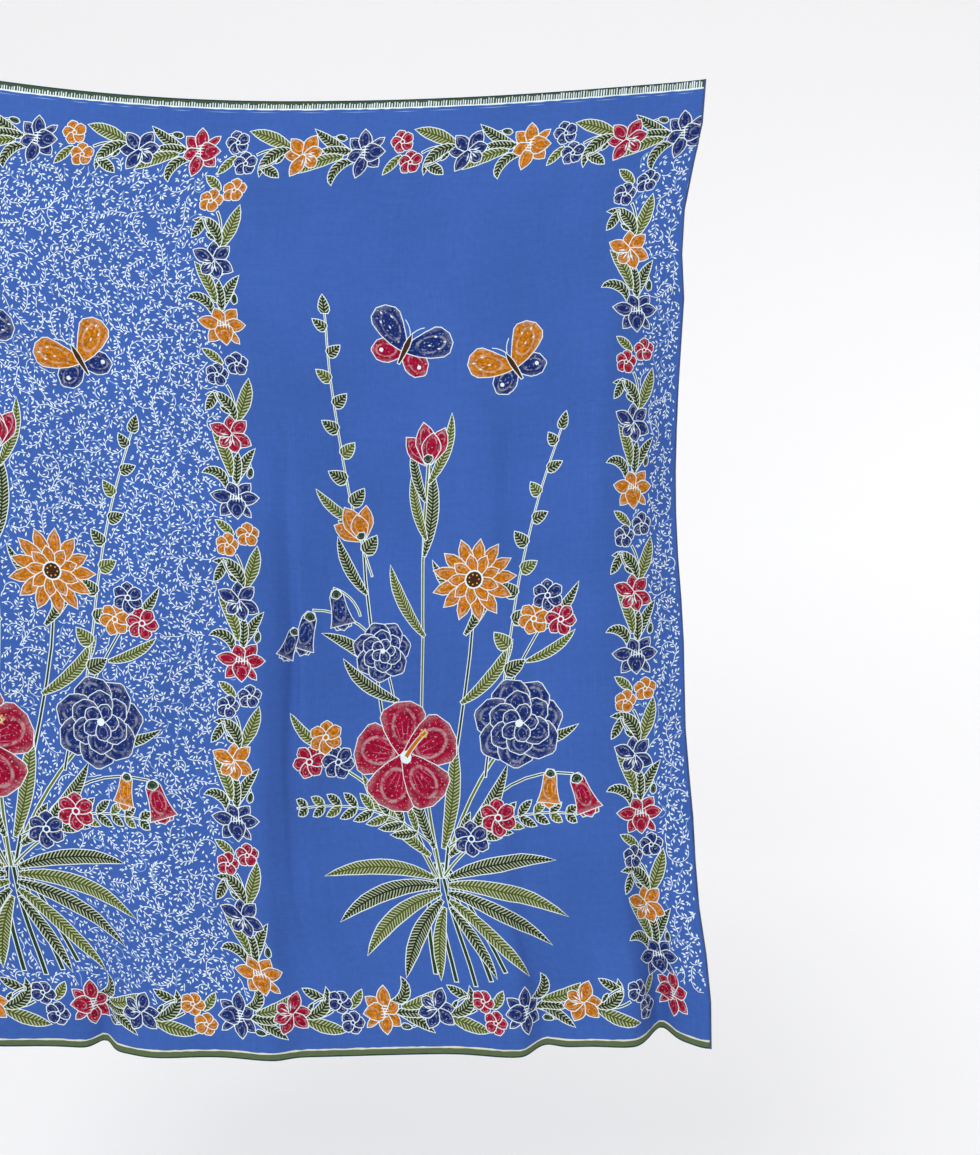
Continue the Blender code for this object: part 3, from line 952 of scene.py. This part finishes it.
    def draw(self, tries):
        rng = self.random
        for pitch_s, pitch_t, least, most in CURL_SIZES:
            for low, high in GROUND_STRETCHES:
                for row in range(int((GROUND_END - GROUND_TOP) / pitch_t) + 1):
                    s = low + (row % 2) * pitch_s / 2.0
                    while s < high:
                        near_s, near_t = s + rng.uniform(-6.0, 6.0), GROUND_TOP + row * pitch_t
                        self.curl(near_s, near_t + rng.uniform(-5.0, 5.0), rng.uniform(least, most))
                        s += pitch_s
        self.fill(tries)


def clipped(points, axis, low, high):
    """A polygon cut off at low and at high, along s where axis is 0 and along t where it is 1."""
    for limit, sign in ((low, 1.0), (high, -1.0)):
        if not len(points):
            return points
        inside = (points[:, axis] - limit) * sign
        if inside.min() >= 0.0:
            continue
        kept = []
        for index in range(len(points)):
            a, b = points[index], points[(index + 1) % len(points)]
            da, db = inside[index], inside[(index + 1) % len(points)]
            if da >= 0.0:
                kept.append(a)
            if (da < 0.0) != (db < 0.0):
                kept.append(a + (b - a) * da / (da - db))
        points = np.array(kept)
    return points


# Steps round a piece's outline, limits for leaving points out of lines, the room that the fill
# grid leaves round lines, how far shapes stay off a seam, and when two points count as one (mm)
EDGE_STEP = 3.0
STRAIGHT = 0.03
LONGEST_LINE = 8.0
CROWD_ROOM = 3.0
SEAM_INSIDE = 0.02
SAME_POINT = 1e-4

# Steps of the inner face's grid, and where it has closer rows towards the hem
INNER_STEPS = (4.0, 24.0)
HEM_ROWS_FROM, HEM_ROW, HEM_ROWS_END = 840.0, 8.0, 4.0

# How near to either end a motif shows on the inner face
SEEN_FROM_START, SEEN_FROM_END = 44.0, 30.0


def anticlockwise(flat, triangles):
    a, b, c = (flat[triangles[:, corner]] for corner in range(3))
    area = (b[:, 0] - a[:, 0]) * (c[:, 1] - a[:, 1]) - (b[:, 1] - a[:, 1]) * (c[:, 0] - a[:, 0])
    turned = triangles.copy()
    turned[area < 0.0] = triangles[area < 0.0][:, ::-1]
    return turned


def directed(triangles, count):
    """One number for each directed edge of the triangles, and for each one's twin."""
    start = triangles.ravel()
    end = np.roll(triangles, -1, axis=1).ravel()
    return start, end, start * count + end, end * count + start


def found_in(wanted, keys):
    """Where each wanted number is in keys, and whether it is there."""
    order = np.argsort(keys)
    place = np.minimum(np.searchsorted(keys[order], wanted), len(keys) - 1)
    return order[place], keys[order][place] == wanted


def part_lines(flat, triangles, look):
    """The lines between parts that look different, as rows of (from, to, left look, right look).

    The outline of the whole face has -1 on its right.
    """
    start, end, key, twin = directed(triangles, len(flat))
    left = np.repeat(look, 3)
    place, paired = found_in(twin, key)
    right = np.where(paired, left[place], -1)
    kept = (left != right) & ((start < end) | ~paired)
    return np.stack([start, end, left, right], axis=1)[kept]


def simplified(flat, rows):
    """The same lines without the points that lie straight between their two neighbours."""
    lines = [tuple(row) for row in rows.tolist()]
    at = {}
    for index, (a, b, _left, _right) in enumerate(lines):
        at.setdefault(a, set()).add(index)
        at.setdefault(b, set()).add(index)
    joined = {(min(a, b), max(a, b)) for a, b, _left, _right in lines}
    places = flat.tolist()
    for vertex in sorted(at):
        if len(at[vertex]) != 2:
            continue
        first, second = sorted(at[vertex])
        a, b, left, right = lines[first]
        if a == vertex:
            a, b, left, right = b, a, right, left
        c, d, left_after, right_after = lines[second]
        if d == vertex:
            c, d, left_after, right_after = d, c, right_after, left_after
        ends = (min(a, d), max(a, d))
        if a == d or ends in joined or min(left, right, left_after, right_after) < 0:
            continue
        (ax, ay), (vx, vy), (dx, dy) = places[a], places[vertex], places[d]
        span = math.hypot(dx - ax, dy - ay)
        off_line = abs((dx - ax) * (vy - ay) - (dy - ay) * (vx - ax))
        if span > LONGEST_LINE or off_line > STRAIGHT * span:
            continue
        lines[first], lines[second] = (a, d, left, right), None
        at[d].discard(second)
        at[d].add(first)
        joined.add(ends)
        del at[vertex]
    return np.array([line for line in lines if line is not None])


def filled(flat, triangles, edges, sources, lines, old_flat):
    """The look of each triangle, from the lines round the parts and then from its neighbours."""
    _start, _end, key, twin = directed(triangles, len(flat))
    marked = [index for index, source in enumerate(sources) if source]
    ends = np.array([edges[index] for index in marked])
    of_line = lines[[sources[index][0] for index in marked]]
    run = flat[ends[:, 1]] - flat[ends[:, 0]]
    line_run = old_flat[of_line[:, 1]] - old_flat[of_line[:, 0]]
    forward = (run * line_run).sum(axis=1) > 0.0
    left = np.where(forward, of_line[:, 2], of_line[:, 3])
    right = np.where(forward, of_line[:, 3], of_line[:, 2])

    known = np.full(len(key), -2)
    for first, last, look in ((ends[:, 0], ends[:, 1], left), (ends[:, 1], ends[:, 0], right)):
        place, hit = found_in(first * len(flat) + last, key)
        known[place[hit]] = look[hit]
    look = known.reshape(-1, 3).max(axis=1)
    place, paired = found_in(twin, key)
    beside = np.where(paired & (known == -2), place // 3, -1).reshape(-1, 3)
    while (look == -2).any():
        offered = np.where(beside >= 0, look[beside], -2).max(axis=1)
        after = np.where(look == -2, offered, look)
        if (after == look).all():
            break
        look = after
    return np.maximum(look, 0)


def outline_of(low, high):
    """Flat points round one piece, in order."""
    s_places = np.linspace(low, high, max(2, round((high - low) / EDGE_STEP)) + 1)
    t_places = np.linspace(0.0, DROP, round(DROP / (2.0 * EDGE_STEP)) + 1)
    sides = (
        [(s, 0.0) for s in s_places[:-1]],
        [(high, t) for t in t_places[:-1]],
        [(s, DROP) for s in s_places[:0:-1]],
        [(low, t) for t in t_places[:0:-1]],
    )
    return np.array([place for side in sides for place in side])


def face_mesh(low, high, shapes, steps):
    """Triangles of one face of the cloth, from low to high.

    Returns flat vertices, triangles, the shape that shows in each triangle, with 0 for the
    ground, and the vertices round the outline in order. Lines hidden under other shapes are
    left out, and a grid fills the parts that have no lines.
    """
    edge = outline_of(low, high)
    verts = [Vector(place) for place in edge]
    faces = [list(range(len(verts)))]
    owners = [0]
    plain = {}
    for index, (points, dye, kind, _spine, _half) in enumerate(shapes):
        if points[:, 0].max() < low + SEAM_INSIDE or points[:, 0].min() > high - SEAM_INSIDE:
            continue
        cut = clipped(points, 0, low + SEAM_INSIDE, high - SEAM_INSIDE)
        cut = clipped(cut, 1, INSIDE, DROP - INSIDE)
        if len(cut) < 3:
            continue
        start = len(verts)
        verts.extend(Vector(place) for place in cut)
        faces.append(list(range(start, start + len(cut))))
        owners.append(plain.setdefault(dye, index + 1) if kind == PLAIN else index + 1)
    found, _edges, triangles, made_from, _from_edges, inside = delaunay_2d_cdt(
        verts, [], faces, 1, SAME_POINT, True
    )
    flat = np.array([tuple(v) for v in found])
    look = np.array([owners[max(ids)] if ids else -1 for ids in inside])
    triangles = anticlockwise(flat, np.array(triangles, int)[look >= 0])
    lines = simplified(flat, part_lines(flat, triangles, look[look >= 0]))
    first_of = {source: vertex for vertex, sources in enumerate(made_from) for source in sources}

    used = np.unique(lines[:, :2])
    grid = grid_of(low, high, *steps)
    crowded = {tuple(place) for place in np.round(flat[used] / CROWD_ROOM).astype(int).tolist()}
    near = np.round(grid / CROWD_ROOM).astype(int).tolist()
    grid = grid[[tuple(place) not in crowded for place in near]]
    verts = [Vector(place) for place in np.concatenate((flat[used], grid))]
    pairs = np.searchsorted(used, lines[:, :2]).tolist()
    found, edges, triangles, made_from, sources, _inside = delaunay_2d_cdt(
        verts, pairs, [], 0, SAME_POINT, True
    )
    new_flat = np.array([tuple(v) for v in found])
    triangles = anticlockwise(new_flat, np.array(triangles, int))
    look = filled(new_flat, triangles, edges, sources, lines, flat)
    number = {used[source]: vertex for vertex, all_from in enumerate(made_from)
              for source in all_from if source < len(used)}
    rim = [number[first_of[place]] for place in range(len(edge))]
    return new_flat, triangles, look, rim


def grid_of(low, high, step_s, step_t):
    """Places that fill the parts of a piece where no lines run."""
    s_count, t_count = round((high - low) / step_s), round(DROP / step_t)
    s = np.linspace(low, high, s_count + 1)[1:-1]
    t = np.linspace(0.0, DROP, t_count + 1)[1:-1]
    if step_t > HEM_ROW:
        rows = np.arange(HEM_ROWS_FROM, DROP - HEM_ROWS_END, HEM_ROW)
        t = np.concatenate((t[t < HEM_ROWS_FROM], rows))
    return np.array([(a, b) for a in s for b in t])


def drawn_values(flat, triangles, shown, shapes):
    """For each triangle corner: (along the shape's midrib, signed distance from it, kind)."""
    values = np.zeros((len(triangles), 3, 3))
    order = np.argsort(shown, kind="stable")
    starts = np.searchsorted(shown[order], np.arange(len(shapes) + 2))
    for index, (_points, _dye, kind, spine, half) in enumerate(shapes):
        mine = order[starts[index + 1]:starts[index + 2]]
        if spine is None or kind == PLAIN or not len(mine):
            continue
        places = flat[triangles[mine]].reshape(-1, 2)
        a, b = spine[:-1], spine[1:]
        span = b - a
        lengths = np.linalg.norm(span, axis=1)
        offset = places[:, None] - a[None]
        share = np.clip((offset * span[None]).sum(axis=2) / lengths[None] ** 2, 0.0, 1.0)
        nearest = offset - share[:, :, None] * span[None]
        distance = np.linalg.norm(nearest, axis=2)
        best = distance.argmin(axis=1)
        rows = np.arange(len(places))
        before = np.concatenate(([0.0], np.cumsum(lengths)))
        along = before[best] + share[rows, best] * lengths[best]
        side = span[best, 0] * offset[rows, best, 1] - span[best, 1] * offset[rows, best, 0]
        across = np.sign(side) * distance[rows, best]
        if kind == PETAL:
            along, across = along / before[-1], across / half
        values[mine] = np.stack([along, across, np.full(len(places), kind)], axis=1).reshape(-1, 3, 3)
    return values


def linear(value):
    """Linear light of an sRGB value from 0 to 255."""
    value = value / 255.0
    return value / 12.92 if value <= 0.04045 else ((value + 0.055) / 1.055) ** 2.4


DYE_COLOURS = np.array([[linear(v) for v in DYES[name]] + [1.0] for name in DYE_NAMES])


def seen_inside(outline):
    """Whether a shape is near enough to an open end to be seen on the inner face."""
    return outline[:, 0].min() < SEEN_FROM_START or outline[:, 0].max() > LENGTH - SEEN_FROM_END


def bare_mesh(name, verts, triangles):
    mesh = bpy.data.meshes.new(name)
    mesh.vertices.add(len(verts))
    mesh.vertices.foreach_set("co", verts.astype(np.float32).ravel())
    mesh.loops.add(3 * len(triangles))
    mesh.loops.foreach_set("vertex_index", triangles.astype(np.int32).ravel())
    mesh.polygons.add(len(triangles))
    mesh.polygons.foreach_set("loop_start", np.arange(0, 3 * len(triangles), 3, dtype=np.int32))
    mesh.update(calc_edges=True)
    return mesh


def dyes_of(shapes, shown):
    """The dye of each triangle, from the shape that shows in it."""
    dyes = np.array([DYE_NAMES.index("ground")] + [shape[1] for shape in shapes])
    return DYE_COLOURS[dyes[shown]]


def cloth_piece(name, low, high, shapes, steps, finish, points, outward):
    """One length of the cloth as a closed thin shell with the print on both faces.

    Away from its outline the inner face lies a little deeper, so it never cuts the outer one.
    """
    flat, triangles, shown, edge = face_mesh(low, high, shapes, steps)
    inner_shapes = [shape for shape in shapes if seen_inside(shape[0])]
    flat_in, triangles_in, shown_in, edge_in = face_mesh(low, high, inner_shapes, INNER_STEPS)

    place, normal = read_grid(points, flat), read_grid(outward, flat)
    place_in, normal_in = read_grid(points, flat_in), read_grid(outward, flat_in)
    half = THICKNESS / 2.0
    from_rim = np.minimum(np.minimum(flat_in[:, 0] - low, high - flat_in[:, 0]),
                          np.minimum(flat_in[:, 1], DROP - flat_in[:, 1]))
    sunk = half + HIDDEN_ROOM * smooth(from_rim / RIM_WIDTH)
    verts = np.concatenate((place + normal * half, place_in - normal_in * sunk[:, None]))

    # A band of triangles joins the two outlines
    edge_in = [len(flat) + vertex for vertex in edge_in]
    rim = []
    for a, b, c, d in zip(edge, edge[1:] + edge[:1], edge_in[1:] + edge_in[:1], edge_in):
        rim += [(b, a, d), (b, d, c)]
    rim = np.array(rim)
    all_triangles = np.concatenate((triangles, triangles_in[:, ::-1] + len(flat), rim))
    mesh = bare_mesh(name, verts, all_triangles)

    rim_dyes = np.tile(DYE_COLOURS[DYE_NAMES.index("ground")], (len(rim), 1))
    dyes = np.concatenate((dyes_of(shapes, shown), dyes_of(inner_shapes, shown_in), rim_dyes))
    dye = mesh.attributes.new("dye", "FLOAT_COLOR", "CORNER")
    dye.data.foreach_set("color", np.repeat(dyes, 3, axis=0).astype(np.float32).ravel())

    drawn = drawn_values(flat, triangles, shown, shapes)
    drawn_in = drawn_values(flat_in, triangles_in, shown_in, inner_shapes)[:, ::-1]
    drawn = np.concatenate((drawn, drawn_in, np.zeros((len(rim), 3, 3))))
    lines = mesh.attributes.new("drawn", "FLOAT_VECTOR", "CORNER")
    lines.data.foreach_set("vector", drawn.astype(np.float32).ravel())

    corners = np.concatenate((flat, flat_in))[all_triangles.ravel()]
    metres = np.stack([corners[:, 0], DROP - corners[:, 1]], axis=1) / 1000.0
    cloth_map = mesh.uv_layers.new(name="Cloth")
    cloth_map.data.foreach_set("uv", metres.astype(np.float32).ravel())

    mesh.materials.append(finish)
    mesh.shade_smooth()
    normals = np.concatenate((normal, -normal_in))[all_triangles.ravel()]
    a, b, c = (verts[rim[:, corner]] for corner in range(3))
    rim_normals = np.cross(b - a, c - a)
    rim_normals /= np.maximum(np.linalg.norm(rim_normals, axis=1), 1e-12)[:, None]
    normals[-3 * len(rim):] = np.repeat(rim_normals, 3, axis=0)
    mesh.normals_split_custom_set(normals.astype(np.float32))

    piece = bpy.data.objects.new(name, mesh)
    bpy.context.scene.collection.objects.link(piece)
    return piece


class Finish:
    """A material under construction, with short ways to add its nodes."""

    def __init__(self, name):
        self.material = bpy.data.materials.new(name)
        self.material.use_nodes = True
        self.nodes = self.material.node_tree.nodes
        self.links = self.material.node_tree.links
        self.shader = self.nodes["Principled BSDF"]

    def add(self, kind, **settings):
        node = self.nodes.new("ShaderNode" + kind)
        for name, value in settings.items():
            setattr(node, name, value)
        return node

    def feed(self, socket, value):
        """Links an output to a socket, or sets the socket to a plain value."""
        if isinstance(value, bpy.types.NodeSocket):
            self.links.new(value, socket)
        else:
            socket.default_value = value

    def put(self, name, value):
        """Feeds one of the shader's sockets."""
        self.feed(self.shader.inputs[name], value)

    def math(self, operation, *values):
        node = self.add("Math", operation=operation)
        for socket, value in zip(node.inputs, values):
            self.feed(socket, value)
        return node.outputs[0]

    def times(self, first, second):
        return self.math("MULTIPLY", first, second)

    def plus(self, first, second):
        return self.math("ADD", first, second)

    def less(self, first, second):
        return self.math("SUBTRACT", first, second)

    def over(self, first, second):
        return self.math("DIVIDE", first, second)

    def most(self, first, second):
        return self.math("MAXIMUM", first, second)

    def size_of(self, value):
        return self.math("ABSOLUTE", value)

    def rising(self, value, low, high, to_low=0.0, to_high=1.0):
        """Goes smoothly from to_low to to_high while value goes from low to high."""
        node = self.add("MapRange", interpolation_type="SMOOTHSTEP")
        for socket, given in zip(node.inputs, (value, low, high, to_low, to_high)):
            self.feed(socket, given)
        return node.outputs[0]

    def mixed(self, share, first, second, blend="MIX"):
        node = self.add("Mix", data_type="RGBA", blend_type=blend)
        for index, value in ((0, share), (6, first), (7, second)):
            self.feed(node.inputs[index], value)
        return node.outputs[2]

    def vectors(self, operation, first, second):
        node = self.add("VectorMath", operation=operation)
        self.feed(node.inputs[0], first)
        self.feed(node.inputs[1], second)
        return node.outputs[0]

    def stretched(self, vector, scale):
        return self.vectors("MULTIPLY", vector, scale)

    def parts(self, vector):
        """The X, Y and Z of a vector."""
        node = self.add("SeparateXYZ")
        self.feed(node.inputs[0], vector)
        return node.outputs

    def grey(self, value):
        """A colour with the same value in all three channels."""
        node = self.add("CombineColor")
        for socket in node.inputs[:3]:
            self.feed(socket, value)
        return node.outputs[0]

    def noise(self, vector, scale, detail=2.0):
        """Noise from 0 to 1, with its values mostly between 0.3 and 0.7."""
        node = self.add("TexNoise", noise_dimensions="3D")
        self.feed(node.inputs["Vector"], vector)
        node.inputs["Scale"].default_value = scale
        node.inputs["Detail"].default_value = detail
        return node.outputs["Fac"]

    def uneven(self, vector, scale, detail, low, high, least=0.3, most=0.7):
        """Noise spread out smoothly from least and most to low and high."""
        return self.rising(self.noise(vector, scale, detail), least, most, low, high)

    def bump(self, height, strength):
        node = self.add("Bump")
        node.inputs["Strength"].default_value = strength
        node.inputs["Distance"].default_value = BUMP_DISTANCE
        self.feed(node.inputs["Height"], height)
        self.put("Normal", node.outputs[0])


CHEVRON_PITCH = 3.9
STROKE_GREEN = (0.68, 0.72, 0.50, 1.0)
DEEP_GREEN = (0.42, 0.50, 0.42, 1.0)
MISSED = (0.86, 0.88, 0.9, 1.0)
THREAD_PITCH = 0.0005
THREAD_NOISE = (14.0, 900.0)
BUMP_DISTANCE = 0.0003
WHITE = (1.0, 1.0, 1.0, 1.0)


def leaf_colour(made, dye, place, along, across):
    """Slanted pale strokes on both sides of the midrib, deep green between them."""
    wander = made.times(made.noise(place, 260.0), 1.6)
    way = made.plus(made.less(along, made.times(across, 0.8)), wander)
    turn = made.math("FRACT", made.over(way, CHEVRON_PITCH))
    stroke = made.rising(made.size_of(made.less(turn, 0.5)), 0.13, 0.22, 1.0, 0.0)
    stroke = made.times(stroke, made.rising(across, 0.5, 1.0))
    green = made.mixed(0.75, dye, DEEP_GREEN, "MULTIPLY")
    return made.mixed(made.times(stroke, 0.72), green, STROKE_GREEN)


def petal_colour(made, dye, place, drawn, along, across):
    """A lighter rim and inner ring, mottled dye, streaks and specks that the dye missed."""
    drift = made.stretched(place, (9.0, 9.0, 1.0))
    along_petal = made.vectors("ADD", made.stretched(drawn, (2.0, 7.0, 1.0)), drift)
    streak = made.uneven(along_petal, 1.0, 2.0, 0.8, 1.08, 0.36, 0.62)
    mottle = made.uneven(place, 260.0, 3.0, 0.72, 1.25, 0.36, 0.64)
    petal = made.mixed(1.0, dye, made.grey(made.times(streak, mottle)), "MULTIPLY")
    rim = made.most(made.rising(across, 0.6, 1.0), made.rising(along, 0.84, 1.0))
    rim = made.times(rim, made.uneven(place, 420.0, 2.0, 0.04, 0.22, 0.3, 0.65))
    speck = made.uneven(place, 380.0, 1.0, 0.0, 0.4, 0.63, 0.7)
    up, out = made.over(made.less(along, 0.56), 0.3), made.over(across, 0.5)
    reach = made.math("SQRT", made.plus(made.times(up, up), made.times(out, out)))
    ring = made.rising(made.size_of(made.less(reach, 1.0)), 0.05, 0.16, 1.0, 0.0)
    ring = made.times(ring, made.uneven(place, 120.0, 2.0, 0.04, 0.28, 0.38, 0.58))
    return made.mixed(made.most(rim, made.most(speck, ring)), petal, MISSED)


def cotton(name):
    """Printed cotton: dyes that vary, strokes on leaves, mottled petals, threads and slubs."""
    made = Finish(name)
    dye = made.add("Attribute", attribute_name="dye").outputs["Color"]
    drawn = made.add("Attribute", attribute_name="drawn").outputs["Vector"]
    place = made.add("UVMap", uv_map="Cloth").outputs["UV"]
    along, across, kind = made.parts(drawn)
    across = made.size_of(across)
    leaf_share = made.math("COMPARE", kind, LEAF, 0.3)
    petal_share = made.math("COMPARE", kind, PETAL, 0.3)
    colour = made.mixed(leaf_share, dye, leaf_colour(made, dye, place, along, across))
    petal = petal_colour(made, dye, place, drawn, along, across)
    colour = made.mixed(petal_share, colour, petal)

    # All of the cloth: the dye took unevenly, and thick threads show a little
    cloudy = made.uneven(place, 9.0, 4.0, 0.955, 1.045)
    blotch = made.uneven(place, 170.0, 3.0, 0.965, 1.035)
    slow, fast = THREAD_NOISE
    weft = made.uneven(made.stretched(place, (slow, fast, 1.0)), 1.0, 2.0, 0.965, 1.035)
    warp = made.uneven(made.stretched(place, (fast, slow, 1.0)), 1.0, 2.0, 0.965, 1.035)
    shade = made.times(made.times(cloudy, blotch), made.times(weft, warp))
    colour = made.mixed(1.0, colour, made.grey(shade), "MULTIPLY")
    made.put("Base Color", colour)

    # Plain weave: threads over and under each other, with the slubs
    turns = math.pi / THREAD_PITCH
    across_weft, across_warp, _ = made.parts(made.stretched(place, (turns, turns, 1.0)))
    woven = made.times(made.math("SINE", across_weft), made.math("SINE", across_warp))
    made.bump(made.plus(made.times(woven, 0.5), made.plus(weft, warp)), 0.35)
    made.put("Roughness", made.uneven(place, 60.0, 3.0, 0.78, 0.92))
    made.put("Specular IOR Level", 0.12)
    made.put("Sheen Weight", 0.02)
    made.put("Sheen Roughness", 0.5)
    return made.material


def hem_cotton(name):
    """The navy rolled hem: fine threads round it, and a dye that varies."""
    made = Finish(name)
    place = made.add("TexCoord").outputs["Object"]
    threads = made.noise(made.stretched(place, (300.0, 300.0, 2600.0)), 1.0, 2.0)
    cloudy = made.noise(place, 60.0, 3.0)
    tone = made.rising(made.plus(threads, made.times(cloudy, 0.6)), 0.5, 1.1)
    colour = made.mixed(tone, (0.018, 0.030, 0.085, 1.0), (0.075, 0.115, 0.26, 1.0))
    made.put("Base Color", colour)
    made.bump(threads, 0.4)
    made.put("Roughness", 0.85)
    return made.material


points, outward = sample_cloth()
motifs = Drawing()
draw_border(motifs)
draw_bouquets(motifs)

# The white grounds of the motifs keep the leaves off
room = Room()
for outline, dye, _kind, spine, _half in motifs.shapes:
    if dye == DYE_NAMES.index("white") and spine is None:
        room.cover(grown(outline, MOTIF_MARGIN))
drawing = Drawing()
draw_bands(drawing)
LeafGround(drawing, room).draw(GROUND_TRIES)
drawing.shapes += motifs.shapes

# Pieces of the visible cloth, from the right end round to the back end:
# name, CAD node, from s, to s, and the grid's steps where there is no print
FRONT_SEAM, BACK_SEAM = 640.0, 1508.0
PIECES = (
    ("front_cloth_right", "front_stretch", HEM_MIDDLE, FRONT_SEAM, (3.0, 9.0)),
    ("front_cloth_left", "front_stretch", FRONT_SEAM, SPLIT, (4.0, 12.0)),
    ("back_cloth_left", "back_stretch", SPLIT, BACK_SEAM, (4.0, 14.0)),
    ("back_cloth_right", "back_stretch", BACK_SEAM, LENGTH - HEM_MIDDLE, (4.0, 14.0)),
)
printed = cotton("printed_cotton")
for name, node, low, high, steps in PIECES:
    piece = cloth_piece(name, low, high, drawing.shapes, steps, printed, points, outward)
    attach(piece, "root")
    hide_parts(node)


# Camera, level and straight at the front, as the photograph was taken
CAMERA_PLACE = (-0.2212, -1.3, -0.5283)
FRAME_WIDTH = 1.0731
SENSOR_WIDTH = 36.0


def look_from(place, target, name, data):
    """A camera or lamp at a place, turned to a target."""
    made = bpy.data.objects.new(name, data)
    bpy.context.scene.collection.objects.link(made)
    made.location = place
    made.rotation_euler = (Vector(target) - Vector(place)).to_track_quat("-Z", "Y").to_euler()
    return made


lens = bpy.data.cameras.new("camera")
lens.sensor_fit = "HORIZONTAL"
lens.sensor_width = SENSOR_WIDTH
lens.lens = SENSOR_WIDTH * abs(CAMERA_PLACE[1]) / FRAME_WIDTH
camera = look_from(CAMERA_PLACE, (CAMERA_PLACE[0], 0.0, CAMERA_PLACE[2]), "camera", lens)
bpy.context.scene.camera = camera


# Studio, in metres
FLOOR_Z, FLOOR_FRONT = -1.40, -9.0
BACKDROP_Y, BACKDROP_TOP = 3.3, 6.0
BACKDROP_SIDES = (-9.0, 8.4)
SWEEP, SWEEP_STEPS = 1.0, 12
PAPER = {
    "Base Color": (0.86, 0.86, 0.87, 1.0),
    "Roughness": 0.9,
    "Emission Color": WHITE,
    "Emission Strength": 0.2,
}
AIR_LIGHT = 0.62


def studio():
    """A pale floor that curves up into a pale backdrop."""
    profile = [(FLOOR_FRONT, FLOOR_Z), (BACKDROP_Y - SWEEP, FLOOR_Z)]
    for step in range(1, SWEEP_STEPS + 1):
        angle = math.pi / 2.0 * step / SWEEP_STEPS
        y = BACKDROP_Y - SWEEP + SWEEP * math.sin(angle)
        profile.append((y, FLOOR_Z + SWEEP * (1.0 - math.cos(angle))))
    profile.append((BACKDROP_Y, BACKDROP_TOP))
    verts = [(x, y, z) for x in BACKDROP_SIDES for y, z in profile]
    count = len(profile)
    faces = [(i, i + 1, count + i + 1, count + i) for i in range(count - 1)]
    mesh = bpy.data.meshes.new("studio_sweep")
    mesh.from_pydata(verts, [], faces)
    mesh.shade_smooth()
    paper = Finish("pale_paper")
    for name, value in PAPER.items():
        paper.put(name, value)
    mesh.materials.append(paper.material)
    sweep = bpy.data.objects.new("studio_sweep", mesh)
    bpy.context.scene.collection.objects.link(sweep)


studio()

world = bpy.data.worlds.new("studio_air")
world.use_nodes = True
background = world.node_tree.nodes["Background"]
background.inputs["Color"].default_value = WHITE
background.inputs["Strength"].default_value = AIR_LIGHT
bpy.context.scene.world = world
bpy.context.scene.view_settings.view_transform = "Standard"


def area_light(name, place, target, size, power):
    data = bpy.data.lights.new(name, "AREA")
    data.shape = "RECTANGLE"
    data.size, data.size_y = size
    data.energy = power
    look_from(place, target, name, data)


area_light("key", (-1.6, -2.6, 1.3), (-0.3, 0.0, -0.5), (1.8, 1.4), 44.0)
area_light("paper_light", (2.3, 1.0, 0.1), (1.1, 3.0, -1.4), (1.2, 1.2), 9.0)

hem_finish = hem_cotton("navy_hem")
for node in ("front_end_hem", "back_end_hem"):
    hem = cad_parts[node]
    for slot in hem.material_slots:
        slot.material = hem_finish
